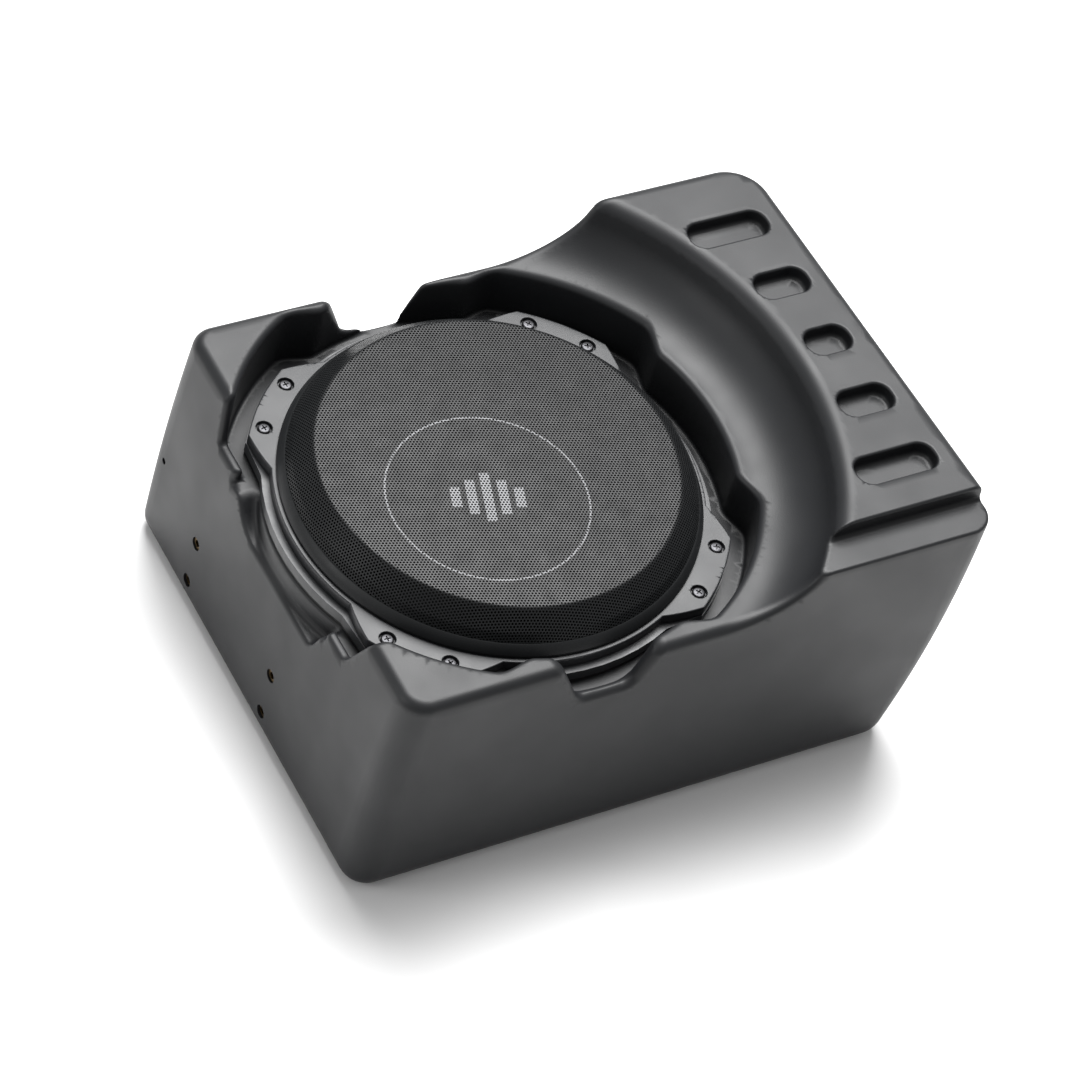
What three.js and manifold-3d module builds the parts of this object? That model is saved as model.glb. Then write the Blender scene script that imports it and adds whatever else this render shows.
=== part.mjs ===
// Powered car subwoofer: a moulded enclosure shaped to a vehicle's trim, a shallow 10 inch
// woofer under a perforated grille, and an amplifier let into the back wall.
// Millimetres, +Z up, origin at the centre of the footprint.
import * as THREE from 'three';
import { mergeVertices } from 'three/addons/utils/BufferGeometryUtils.js';
import Module from 'manifold-3d';

// ---- overall body ----
const BODY_LENGTH = 372;
const BODY_WIDTH = 286;
const BODY_HEIGHT = 190;
const WALL = 6;
const LEFT_LEAN = 11;
const RIGHT_TAPER = 24;
const RIGHT_SKEW = 8;
const FACE_DRAFT = 2;
const CORNER_FRONT = 16;
const CORNER_BACK_LEFT = 14;
const CORNER_BACK_RIGHT = 24;
const BOTTOM_EDGE = 10;
const TOP_EDGE = 6;

// ---- levels below the ridge top ----
const RIDGE_TOP = BODY_HEIGHT;
const RIM_PLANE = RIDGE_TOP - 55;
const BLOCK_TOP = RIM_PLANE + 24;
const SHELF_TOP = RIM_PLANE + 18;
const SILL_TOP = RIM_PLANE - 8;
const SEAT = RIM_PLANE - 16;
const BAFFLE = 8;

// ---- woofer position and the arc of the ridge ----
const DRIVER_X = -BODY_LENGTH / 2 + 134;
const DRIVER_Y = 3;
const ARC_X = DRIVER_X - 24;
const ARC_Y = DRIVER_Y - 3;
const ARC_RADIUS = 204;
const SLOPE_WIDTH = 30;

// ---- four two-screw ears shared by trim ring, basket, gasket and well ----
const GRILLE_RADIUS = 120;
const TRIM_RADIUS = GRILLE_RADIUS + 2.5;
const FLANGE_RADIUS = GRILLE_RADIUS + 7;
const EAR_RADIUS = GRILLE_RADIUS + 16.5;
const WELL_RADIUS = GRILLE_RADIUS + 16.5;
const WELL_EAR_RADIUS = EAR_RADIUS + 11.5;
const CUTOUT_RADIUS = GRILLE_RADIUS - 3;
const EAR_COUNT = 4;
const EAR_HALF = 11.5;
const EAR_FLANK = 21;
const WELL_EAR_HALF = 18;
const WELL_EAR_FLANK = 25;
const SCREW_CIRCLE = GRILLE_RADIUS + 9;
const SCREW_HALF_ANGLE = 8;
const SCREW_RADIUS = 2;
const SCREW_HEAD = 4;
const SCREW_HOLE = SCREW_RADIUS + 0.4;

// ---- notches, pockets and rabbet in the body ----
const NOTCH_FRONT_X = DRIVER_X - 2;
const NOTCH_BACK_X = DRIVER_X - 8;
const NOTCH_FOOT = 32;
const NOTCH_MOUTH = 64;
const SIDE_NOTCH_FOOT = 79;
const SIDE_NOTCH_MOUTH_FRONT = 94.5;
const SIDE_NOTCH_MOUTH_BACK = 86;
const RIM_WALL = 6;
const RIM_GAP = 58;
const CHANNEL_FLOOR = RIM_PLANE - 31;
const CHANNEL_FRONT = 49;
const CHANNEL_FRONT_RUN = 6;
const CHANNEL_BACK = 34;
const CHANNEL_BACK_RUN = 14;
const POCKET_LENGTHS = [51, 34, 28, 34, 51];
const POCKET_WIDTH = 19;
const POCKET_DEPTH = 9;
const POCKET_PITCH = 46.3;
const POCKET_EDGE = 15;
const RABBET_DEPTH = 11;
const RABBET_WIDTH = 21;
const RABBET_START = 48;

// ---- fits ----
const GAP = 0.3;

// ---- woofer ----
const GASKET = 1.8;
const FLANGE = 6.3;
const TRIM = 6.6;
const COIL_RADIUS = 29;
const SURROUND_ROLL = 20;
const SURROUND_SEAT = 9;
const CONE_RADIUS = CUTOUT_RADIUS - SURROUND_SEAT - SURROUND_ROLL;
const BASKET_MOUTH = CUTOUT_RADIUS - 2;
const BASKET_TAPER = 37;
const BASKET_FOOT = BASKET_MOUTH - BASKET_TAPER;
const BASKET_STRUT = 58;
const SPIDER_RADIUS = BASKET_FOOT + 4;
const MAGNET_RADIUS = BASKET_FOOT - 12;
const MAGNET_HEIGHT = 22;
const PLATE = 8;
const GRILLE_RISE = 22.8;
const GRILLE_HEM = 3;
const GRILLE_BEVEL = 15.4;
const GRILLE_FLAT = GRILLE_RADIUS - GRILLE_BEVEL;

// ---- amplifier panel in the back wall ----
const PANEL_MARGIN = 41;
const PANEL_LENGTH = 200;
const PANEL_X = BODY_LENGTH / 2 - PANEL_MARGIN - PANEL_LENGTH / 2;
const PANEL_Z = 62;
const PANEL_HEIGHT = 88;
const PANEL_SEAT_Y = BODY_WIDTH / 2 - 12;
const PANEL_LAND = 10;
const PANEL_PLATE = 3;
const FIN_COUNT = 7;
const FIN_START = 36;
const FIN = 2.4;
const FIN_HEIGHT = 5;
const KNOB_RADIUS = 6;
const KNOB_PITCH = 22;
const BOARD_LENGTH = 176;
const BOARD_HEIGHT = 60;
const BOARD = 1.6;
const BOARD_STANDOFF = 10.4;

const wasm = await Module();
wasm.setup();

const group = new THREE.Group();
group.name = 'powered_car_subwoofer';

// ---- solid helpers ----
const rad = (degrees) => (degrees * Math.PI) / 180;

function weld(geometry) {
  const bare = geometry.clone();
  bare.deleteAttribute('normal');
  bare.deleteAttribute('uv');
  const merged = mergeVertices(bare, 1e-4);
  const position = merged.attributes.position;
  const index = merged.index.array;
  const a = new THREE.Vector3();
  const b = new THREE.Vector3();
  const c = new THREE.Vector3();
  const kept = [];
  let volume = 0;
  for (let i = 0; i < index.length; i += 3) {
    const [p, q, r] = [index[i], index[i + 1], index[i + 2]];
    if (p === q || q === r || r === p) continue;
    kept.push(p, q, r);
    a.fromBufferAttribute(position, p);
    b.fromBufferAttribute(position, q);
    c.fromBufferAttribute(position, r);
    volume += a.dot(b.cross(c));
  }
  if (volume < 0) kept.reverse();
  merged.setIndex(kept);
  return merged;
}

function solid(geometry) {
  const welded = weld(geometry);
  const mesh = new wasm.Mesh({
    numProp: 3,
    vertProperties: new Float32Array(welded.attributes.position.array),
    triVerts: new Uint32Array(welded.index.array),
  });
  return new wasm.Manifold(mesh);
}

function geometryOf(shape) {
  const mesh = shape.getMesh();
  const position = new THREE.BufferAttribute(new Float32Array(mesh.vertProperties), 3);
  const geometry = new THREE.BufferGeometry();
  geometry.setAttribute('position', position);
  geometry.setIndex(Array.from(mesh.triVerts));
  geometry.computeVertexNormals();
  return geometry;
}

const union = (...shapes) => shapes.reduce((sum, shape) => sum.add(shape));
const cut = (shape, ...tools) => tools.reduce((rest, tool) => rest.subtract(tool), shape);

function add(name, shape, color, roughness, metalness) {
  const material = new THREE.MeshStandardMaterial({ color, roughness, metalness });
  const mesh = new THREE.Mesh(geometryOf(shape), material);
  mesh.name = name;
  group.add(mesh);
}

// ---- shape helpers ----
function box(x0, x1, y0, y1, z0, z1) {
  const geometry = new THREE.BoxGeometry(x1 - x0, y1 - y0, z1 - z0);
  geometry.translate((x0 + x1) / 2, (y0 + y1) / 2, (z0 + z1) / 2);
  return solid(geometry);
}

function latheGeometry(profile, segments) {
  const points = profile.map(([r, z]) => new THREE.Vector2(r, z));
  const onAxis = profile[0][0] === 0 && profile[profile.length - 1][0] === 0;
  if (!onAxis) points.push(points[0].clone());
  const geometry = new THREE.LatheGeometry(points, segments);
  geometry.rotateX(Math.PI / 2);
  return geometry;
}

// A turned solid standing on a vertical axis at (x, y).
function turned(profile, x, y, segments) {
  return solid(latheGeometry(profile, segments).translate(x, y, 0));
}

// A turned solid whose axis runs along Y through (x, z); profile pairs are [radius, y].
function turnedAlongY(profile, x, z, segments) {
  const geometry = latheGeometry(profile, segments);
  geometry.rotateX(-Math.PI / 2);
  return solid(geometry.translate(x, 0, z));
}

// A turned solid whose axis runs along X through (y, z); profile pairs are [radius, x].
function turnedAlongX(profile, y, z, segments) {
  const geometry = latheGeometry(profile, segments);
  geometry.rotateY(Math.PI / 2);
  return solid(geometry.translate(0, y, z));
}

function disc(radius, z0, z1) {
  return [[0, z0], [radius, z0], [radius, z1], [0, z1]];
}

function tube(inner, outer, z0, z1) {
  return [[inner, z0], [outer, z0], [outer, z1], [inner, z1]];
}

function extruded(points, depth) {
  const shape = new THREE.Shape(points.map(([u, v]) => new THREE.Vector2(u, v)));
  return new THREE.ExtrudeGeometry(shape, { depth, bevelEnabled: false, curveSegments: 6 });
}

function prism(points, z0, z1) {
  return solid(extruded(points, z1 - z0).translate(0, 0, z0));
}

// Points are [x, z] pairs, run from y0 to y1.
function prismAlongY(points, y0, y1) {
  return solid(extruded(points, y1 - y0).rotateX(Math.PI / 2).translate(0, y1, 0));
}

// Points are [y, z] pairs, run from x0 to x1.
function prismAlongX(points, x0, x1) {
  const turn = new THREE.Matrix4().makeBasis(
    new THREE.Vector3(0, 1, 0),
    new THREE.Vector3(0, 0, 1),
    new THREE.Vector3(1, 0, 0),
  );
  return solid(extruded(points, x1 - x0).applyMatrix4(turn).translate(x0, 0, 0));
}

function roundedRectangle(x0, x1, y0, y1, radius, steps) {
  const corners = [[x1, y0, -90], [x1, y1, 0], [x0, y1, 90], [x0, y0, 180]];
  const points = [];
  for (const [x, y, start] of corners) {
    const cx = x + (x === x1 ? -radius : radius);
    const cy = y + (y === y1 ? -radius : radius);
    for (let i = 0; i <= steps; i += 1) {
      const angle = rad(start + (90 * i) / steps);
      points.push([cx + radius * Math.cos(angle), cy + radius * Math.sin(angle)]);
    }
  }
  return points;
}

// A ring that swells to a larger radius over four ears set on the diagonals.
function earedOutline(radius, earRadius, half, flank, step) {
  const points = [];
  for (let ear = 0; ear < EAR_COUNT; ear += 1) {
    const centre = 45 + ear * 90;
    for (let a = -half; a <= half + 0.01; a += (2 * half) / 4) {
      points.push([earRadius, centre + a]);
    }
    for (let a = flank; a <= 90 - flank + 0.01; a += (90 - 2 * flank) / step) {
      points.push([radius, centre + a]);
    }
  }
  const at = ([r, a]) => [DRIVER_X + r * Math.cos(rad(a)), DRIVER_Y + r * Math.sin(rad(a))];
  return points.map(at);
}

function screwPositions() {
  const places = [];
  for (let ear = 0; ear < EAR_COUNT; ear += 1) {
    for (const side of [-1, 1]) {
      const angle = rad(45 + ear * 90 + side * SCREW_HALF_ANGLE);
      const x = DRIVER_X + SCREW_CIRCLE * Math.cos(angle);
      const y = DRIVER_Y + SCREW_CIRCLE * Math.sin(angle);
      places.push([x, y]);
    }
  }
  return places;
}

// ---- enclosure outline: walls lean in towards the left rim and the right foot ----
function leftInset(z) {
  return LEFT_LEAN * (z / BODY_HEIGHT) ** 2.2;
}

function rightInset(z) {
  return RIGHT_TAPER * (1 - z / BODY_HEIGHT) ** 2.4;
}

function draftInset(z) {
  return (FACE_DRAFT * z) / BODY_HEIGHT;
}

function outlineAt(z, inset, steps) {
  const left = -BODY_LENGTH / 2 + leftInset(z) + inset;
  const rightFront = BODY_LENGTH / 2 - rightInset(z) - inset;
  const rightBack = rightFront - RIGHT_SKEW;
  const back = BODY_WIDTH / 2 - draftInset(z) - inset;
  const front = -back;
  const corners = [
    [left, front, CORNER_FRONT, 180],
    [rightFront, front, CORNER_FRONT, 270],
    [rightBack, back, CORNER_BACK_RIGHT, 0],
    [left, back, CORNER_BACK_LEFT, 90],
  ];
  const points = [];
  for (const [x, y, corner, start] of corners) {
    const radius = Math.max(corner - inset, 3);
    const cx = x + (start === 180 || start === 90 ? radius : -radius);
    const cy = y + (start === 180 || start === 270 ? radius : -radius);
    for (let i = 0; i <= steps; i += 1) {
      const angle = rad(start + (90 * i) / steps);
      points.push([cx + radius * Math.cos(angle), cy + radius * Math.sin(angle)]);
    }
  }
  return points;
}

function loft(levels, steps) {
  const rings = levels.map(([z, inset]) => outlineAt(z, inset, steps).map(([x, y]) => [x, y, z]));
  const count = rings[0].length;
  const positions = rings.flat(2);
  const index = [];
  for (let level = 0; level + 1 < rings.length; level += 1) {
    for (let i = 0; i < count; i += 1) {
      const a = level * count + i;
      const b = level * count + ((i + 1) % count);
      index.push(a, b, b + count, a, b + count, a + count);
    }
  }
  const top = (rings.length - 1) * count;
  for (let i = 1; i + 1 < count; i += 1) {
    index.push(0, i + 1, i);
    index.push(top, top + i, top + i + 1);
  }
  const geometry = new THREE.BufferGeometry();
  geometry.setAttribute('position', new THREE.Float32BufferAttribute(positions, 3));
  geometry.setIndex(index);
  return solid(geometry);
}

const LEFT_FACET_TOP = 0.4 * BODY_HEIGHT;

function bodyBlock() {
  return loft([
    [0, BOTTOM_EDGE * 0.8],
    [BOTTOM_EDGE * 0.3, BOTTOM_EDGE * 0.25],
    [BOTTOM_EDGE, 0],
    [LEFT_FACET_TOP, 0],
    [0.62 * BODY_HEIGHT, 0],
    [0.82 * BODY_HEIGHT, 0],
    [BODY_HEIGHT - TOP_EDGE, 0],
    [BODY_HEIGHT - TOP_EDGE * 0.3, TOP_EDGE * 0.3],
    [BODY_HEIGHT, TOP_EDGE],
  ], 4);
}

function ridgeSlope() {
  const rise = RIDGE_TOP - SHELF_TOP;
  const steps = [[0, 0], [0.26, 0.06], [0.48, 0.17], [0.68, 0.38], [0.86, 0.72], [0.96, 0.93], [1.04, 1]];
  const foot = ARC_RADIUS - SLOPE_WIDTH;
  const curve = steps.map(([u, v]) => [foot + SLOPE_WIDTH * u, SHELF_TOP + rise * v]);
  const over = RIDGE_TOP + 5;
  const edge = curve[curve.length - 1][0];
  const bowl = turned([[0, SHELF_TOP], ...curve, [edge, over], [0, over]], ARC_X, ARC_Y, 84);
  const right = box(NOTCH_FRONT_X - 3, BODY_LENGTH, -BODY_WIDTH, BODY_WIDTH, 0, over);
  const left = box(-BODY_LENGTH, NOTCH_FRONT_X, -BODY_WIDTH, BODY_WIDTH, BLOCK_TOP, over);
  return union(bowl.intersect(right), left);
}

function ridgePockets() {
  const tools = [];
  POCKET_LENGTHS.forEach((length, i) => {
    const y = DRIVER_Y + (2 - i) * POCKET_PITCH;
    const slant = RIGHT_SKEW * (0.5 + y / BODY_WIDTH);
    const end = BODY_LENGTH / 2 - POCKET_EDGE - slant;
    const half = POCKET_WIDTH / 2;
    const outline = roundedRectangle(end - length, end, y - half, y + half, half * 0.85, 4);
    tools.push(prism(outline, RIDGE_TOP - POCKET_DEPTH, RIDGE_TOP + 5));
  });
  return union(...tools);
}

// A trapezoid whose sides lean out from its foot on the sill to its mouth at the block tops.
function notch([footLow, footHigh], [mouthLow, mouthHigh]) {
  const over = BLOCK_TOP + 10;
  const reach = (over - SILL_TOP) / (BLOCK_TOP - SILL_TOP);
  const low = footLow + (mouthLow - footLow) * reach;
  const high = footHigh + (mouthHigh - footHigh) * reach;
  return [[footLow, SILL_TOP], [footHigh, SILL_TOP], [high, over], [low, over]];
}

function notchAbout(centre) {
  const foot = [centre - NOTCH_FOOT / 2, centre + NOTCH_FOOT / 2];
  return notch(foot, [centre - NOTCH_MOUTH / 2, centre + NOTCH_MOUTH / 2]);
}

function sideNotch() {
  const foot = [DRIVER_Y - SIDE_NOTCH_FOOT, DRIVER_Y + SIDE_NOTCH_FOOT];
  return notch(foot, [DRIVER_Y - SIDE_NOTCH_MOUTH_FRONT, DRIVER_Y + SIDE_NOTCH_MOUTH_BACK]);
}

// The well stops short of the left wall beside the two left ears.
function wellTool() {
  const outline = earedOutline(WELL_RADIUS, WELL_EAR_RADIUS, WELL_EAR_HALF, WELL_EAR_FLANK, 10);
  const rim = -BODY_LENGTH / 2 + leftInset(SILL_TOP) + RIM_WALL;
  const frontRim = box(-BODY_LENGTH, rim, -BODY_WIDTH, DRIVER_Y - RIM_GAP, 0, BODY_HEIGHT);
  const backRim = box(-BODY_LENGTH, rim, DRIVER_Y + RIM_GAP, BODY_WIDTH, 0, BODY_HEIGHT);
  return cut(prism(outline, SEAT, RIDGE_TOP + 5), frontRim, backRim);
}

// Between those ears the left wall drops to a low lip outside the woofer's flange.
const CHANNEL_INNER = DRIVER_X - FLANGE_RADIUS + 24;

function channelTool() {
  const front = DRIVER_Y - CHANNEL_FRONT;
  const back = DRIVER_Y + CHANNEL_BACK;
  const outline = [
    [front, CHANNEL_FLOOR],
    [back, CHANNEL_FLOOR],
    [back + CHANNEL_BACK_RUN, SEAT],
    [back + CHANNEL_BACK_RUN, SILL_TOP],
    [front - CHANNEL_FRONT_RUN, SILL_TOP],
    [front - CHANNEL_FRONT_RUN, SEAT],
  ];
  const ring = turned(disc(FLANGE_RADIUS + 0.5, 0, BODY_HEIGHT), DRIVER_X, DRIVER_Y, 72);
  return cut(prismAlongX(outline, -BODY_LENGTH, CHANNEL_INNER), ring);
}

function channelFloor() {
  const front = DRIVER_Y - CHANNEL_FRONT - CHANNEL_FRONT_RUN - WALL;
  const back = DRIVER_Y + CHANNEL_BACK + CHANNEL_BACK_RUN + WALL;
  const foot = CHANNEL_FLOOR - WALL;
  const floor = box(-BODY_LENGTH / 2 + WALL / 2, CHANNEL_INNER, front, back, foot, SEAT - 1);
  const mouth = turned(disc(CUTOUT_RADIUS, 0, BODY_HEIGHT), DRIVER_X, DRIVER_Y, 72);
  return cut(floor.intersect(bodyBlock()), mouth);
}

const BRACKET_Y = [DRIVER_Y + 73, DRIVER_Y - 25.5];
const BRACKET_Z = [50, 18];
const BRACKET_HOLES = BRACKET_Y.flatMap((y) => BRACKET_Z.map((z) => [y, z]));
const INSERT_RADIUS = 4;
const INSERT_LENGTH = 10;
const INSERT_SINK = 1.2;
const LOCATING_HOLE = [BODY_WIDTH / 2 - 17, 65.5];

function buildEnclosure() {
  const front = -BODY_WIDTH;
  const back = BODY_WIDTH;
  const inWell = CUTOUT_RADIUS / 2;
  const notches = [
    prismAlongY(notchAbout(NOTCH_FRONT_X), front, DRIVER_Y - inWell),
    prismAlongY(notchAbout(NOTCH_BACK_X), DRIVER_Y + inWell, back),
    prismAlongX(sideNotch(), -BODY_LENGTH, DRIVER_X - inWell),
  ];
  const rabbet = box(
    RABBET_START, BODY_LENGTH, front, -BODY_WIDTH / 2 + RABBET_WIDTH + FACE_DRAFT,
    RIDGE_TOP - RABBET_DEPTH, RIDGE_TOP + 5,
  );
  const outside = cut(bodyBlock(), ridgeSlope(), wellTool(), ...notches, rabbet, ridgePockets());

  const ceiling = SEAT - BAFFLE;
  const cavity = loft([[WALL, WALL + 2], [WALL + 4, WALL], [LEFT_FACET_TOP, WALL], [ceiling, WALL]], 3);
  const ridgeRoof = RIDGE_TOP - POCKET_DEPTH - WALL;
  const ridgeRoom = loft([[ceiling - 1, WALL], [ridgeRoof, WALL + 1]], 3);
  const bowlOutside = turned(disc(ARC_RADIUS + WALL, 0, RIDGE_TOP + 5), ARC_X, ARC_Y, 84);
  const rabbetBack = -BODY_WIDTH / 2 + RABBET_WIDTH + 2 * WALL;
  const rabbetKeep = box(-BODY_LENGTH, BODY_LENGTH, front, rabbetBack, 0, RIDGE_TOP);
  const hollow = union(cavity, cut(ridgeRoom, bowlOutside, rabbetKeep));

  const halfLength = PANEL_LENGTH / 2;
  const halfHeight = PANEL_HEIGHT / 2;
  const pad = box(
    PANEL_X - halfLength - PANEL_LAND, PANEL_X + halfLength + PANEL_LAND,
    PANEL_SEAT_Y - 7, BODY_WIDTH / 2 - WALL / 2,
    PANEL_Z - halfHeight - PANEL_LAND, PANEL_Z + halfHeight + PANEL_LAND,
  );
  const bosses = BRACKET_HOLES.map(([y, z]) => {
    const start = -BODY_LENGTH / 2 + WALL / 2;
    return turnedAlongX(disc(INSERT_RADIUS + 4, start, start + INSERT_LENGTH + 5), y, z, 12);
  });
  const padded = union(cut(outside, hollow), pad.intersect(bodyBlock()), channelFloor(), ...bosses);

  const cutout = turned(disc(CUTOUT_RADIUS, ceiling - 5, SEAT + 5), DRIVER_X, DRIVER_Y, 72);
  const pilots = screwPositions().map(([x, y]) => (
    turned(disc(SCREW_RADIUS + GAP, ceiling - 5, SEAT + 5), x, y, 8)
  ));
  const recess = box(
    PANEL_X - halfLength - GAP, PANEL_X + halfLength + GAP, PANEL_SEAT_Y, BODY_WIDTH,
    PANEL_Z - halfHeight - GAP, PANEL_Z + halfHeight + GAP,
  );
  const opening = box(
    PANEL_X - halfLength + PANEL_LAND, PANEL_X + halfLength - PANEL_LAND, PANEL_SEAT_Y - 20, BODY_WIDTH,
    PANEL_Z - halfHeight + PANEL_LAND, PANEL_Z + halfHeight - PANEL_LAND,
  );
  const panelPilots = panelScrewPositions().map(([x, z]) => (
    turnedAlongY(disc(1.5 + GAP, PANEL_SEAT_Y - 6, PANEL_SEAT_Y + 5), x, z, 10)
  ));
  const insertHoles = BRACKET_HOLES.map(([y, z]) => (
    turnedAlongX(disc(INSERT_RADIUS + 0.1, -BODY_LENGTH, insertStart() + INSERT_LENGTH + 1), y, z, 12)
  ));
  const locator = turnedAlongX(disc(2, -BODY_LENGTH, -BODY_LENGTH / 2 + 4.5), ...LOCATING_HOLE, 12);
  const holes = [...pilots, ...panelPilots, ...insertHoles, locator];
  return cut(padded, channelTool(), cutout, recess, opening, ...holes);
}

function insertStart() {
  return -BODY_LENGTH / 2 + leftInset(50) + INSERT_SINK;
}

// ---- woofer: levels count up from the seat ----
const GASKET_Z = SEAT + GAP;
const FLANGE_Z = GASKET_Z + GASKET + GAP;
const FLANGE_TOP = FLANGE_Z + FLANGE;
const TRIM_Z = FLANGE_TOP + GAP;
const TRIM_TOP = TRIM_Z + TRIM;
const COUNTERBORE = 2.5;
const BASKET_FLOOR = SEAT - 57;
const TOP_PLATE_TOP = BASKET_FLOOR - GAP;
const MAGNET_TOP = TOP_PLATE_TOP - PLATE - GAP;
const YOKE_TOP = MAGNET_TOP - MAGNET_HEIGHT - GAP;
const SPIDER_SEAT = BASKET_FLOOR + 20;
const BASKET_RISE = SEAT - 8 - (BASKET_FLOOR + 4);
const WALL_TILT = Math.atan2(BASKET_MOUTH - BASKET_FOOT, BASKET_RISE);

function eared(radius, earRadius, inner, z0, z1, hole) {
  const plate = prism(earedOutline(radius, earRadius, EAR_HALF, EAR_FLANK, 9), z0, z1);
  const bore = turned(disc(inner, z0 - 2, z1 + 2), DRIVER_X, DRIVER_Y, 44);
  const holes = screwPositions().map(([x, y]) => turned(disc(hole, z0 - 2, z1 + 2), x, y, 8));
  return cut(plate, bore, ...holes);
}

function buildBaffleGasket() {
  return eared(FLANGE_RADIUS - 0.5, EAR_RADIUS, CUTOUT_RADIUS + 1, GASKET_Z, GASKET_Z + GASKET, SCREW_HOLE);
}

function buildTrimRing() {
  const ring = eared(TRIM_RADIUS, EAR_RADIUS, GRILLE_RADIUS - GRILLE_HEM, TRIM_Z, TRIM_TOP, SCREW_HOLE);
  const bores = screwPositions().map(([x, y]) => (
    turned(disc(SCREW_HEAD + 0.6, TRIM_TOP - COUNTERBORE, TRIM_TOP + 2), x, y, 10)
  ));
  return cut(ring, ...bores);
}

function buildBasket() {
  const mouth = CONE_RADIUS + SURROUND_ROLL - 1;
  const flange = eared(FLANGE_RADIUS, EAR_RADIUS + 0.5, mouth, FLANGE_Z, FLANGE_TOP, SCREW_HOLE);
  const top = FLANGE_Z + 2;
  const rim = BASKET_MOUTH;
  const floor = BASKET_FLOOR;
  const wall = turned([
    [rim, top], [rim, SEAT - 8], [BASKET_FOOT, floor + 4], [BASKET_FOOT, floor], [COIL_RADIUS + 6, floor],
    [COIL_RADIUS + 6, floor + 4], [BASKET_FOOT - 6, floor + 4], [BASKET_FOOT - 6, SPIDER_SEAT],
    [SPIDER_RADIUS + 6, SPIDER_SEAT],
    [rim - 4, SEAT - 8], [rim - 4, top],
  ], DRIVER_X, DRIVER_Y, 32);
  const windows = [];
  for (let i = 0; i < 6; i += 1) {
    const wide = (2 * Math.PI * rim) / 6 - BASKET_STRUT;
    const geometry = new THREE.BoxGeometry(44, wide, SEAT - 12 - SPIDER_SEAT - 4);
    geometry.translate(rim - 10, 0, (SEAT - 12 + SPIDER_SEAT + 4) / 2);
    geometry.rotateZ(rad(30 + i * 60));
    windows.push(solid(geometry.translate(DRIVER_X, DRIVER_Y, 0)));
  }
  return cut(union(flange, wall), ...windows);
}

function rollProfile(r0, width, z, height, steps) {
  const points = [];
  for (let i = 0; i <= steps; i += 1) {
    const angle = Math.PI - (Math.PI * i) / steps;
    points.push([r0 + width / 2 + (width / 2) * Math.cos(angle), z + height * Math.sin(angle)]);
  }
  return points;
}

function buildSurround() {
  const z = FLANGE_TOP + GAP;
  const thick = 1.2;
  const outer = CONE_RADIUS + SURROUND_ROLL;
  const top = rollProfile(CONE_RADIUS, SURROUND_ROLL, z + thick, 10, 5);
  const under = rollProfile(CONE_RADIUS + thick, SURROUND_ROLL - 2 * thick, z, 10, 5).reverse();
  const innerEdge = [[CONE_RADIUS - 5, z], [CONE_RADIUS - 5, z + thick]];
  const outerEdge = [[outer + 7.5, z + thick], [outer + 7.5, z]];
  return turned([...innerEdge, ...top, ...outerEdge, ...under], DRIVER_X, DRIVER_Y, 30);
}

const CONE_NECK = BASKET_FLOOR + 32;

function coneHeight(radius) {
  const neck = COIL_RADIUS + 1.2;
  const edge = FLANGE_TOP - 1.4;
  return CONE_NECK + ((edge - CONE_NECK) * (radius - neck)) / (CONE_RADIUS - 6 - neck);
}

function buildCone() {
  const neck = COIL_RADIUS + 1.2;
  const edge = CONE_RADIUS - 6;
  return turned([
    [neck, coneHeight(neck)], [edge, coneHeight(edge)], [CONE_RADIUS, coneHeight(edge)],
    [CONE_RADIUS, coneHeight(edge) + 1.2], [edge, coneHeight(edge) + 1.2], [neck, coneHeight(neck) + 1.6],
  ], DRIVER_X, DRIVER_Y, 30);
}

function buildDustCap() {
  const rim = COIL_RADIUS + 13;
  const z = coneHeight(rim) + 1.6 + GAP;
  const points = [];
  for (let i = 0; i <= 4; i += 1) {
    const angle = rad((90 * i) / 4);
    points.push([rim * Math.cos(angle), z + 12 * Math.sin(angle)]);
  }
  points[points.length - 1][0] = 0;
  const under = points.map(([r, h]) => [Math.max(r - 1.2, 0), h - (r < 1 ? 1.2 : 0)]).reverse();
  return turned([...under, ...points], DRIVER_X, DRIVER_Y, 24);
}

function buildSpider() {
  const inner = COIL_RADIUS + 0.6 + GAP;
  const land = SPIDER_RADIUS - 10;
  const waves = 5;
  const z = SPIDER_SEAT + GAP;
  const top = [];
  const under = [];
  for (let i = 0; i <= waves; i += 1) {
    const r = inner + 3 + ((land - inner - 3) * i) / waves;
    const wave = i === 0 || i === waves ? 0 : (i % 2 ? 2.4 : -2.4);
    const level = z + 2.6 + wave;
    top.push([r, level + 0.7]);
    under.push([r, level]);
  }
  const outerEdge = [
    [land + 2, z + 0.9], [SPIDER_RADIUS, z + 0.9],
    [SPIDER_RADIUS, z + 0.1], [land + 2, z + 0.1],
  ];
  const innerEdge = [[inner, z + 2.6], [inner, z + 3.3]];
  const profile = [...innerEdge, ...top, ...outerEdge, ...under.reverse()];
  return turned(profile, DRIVER_X, DRIVER_Y, 24);
}

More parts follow.
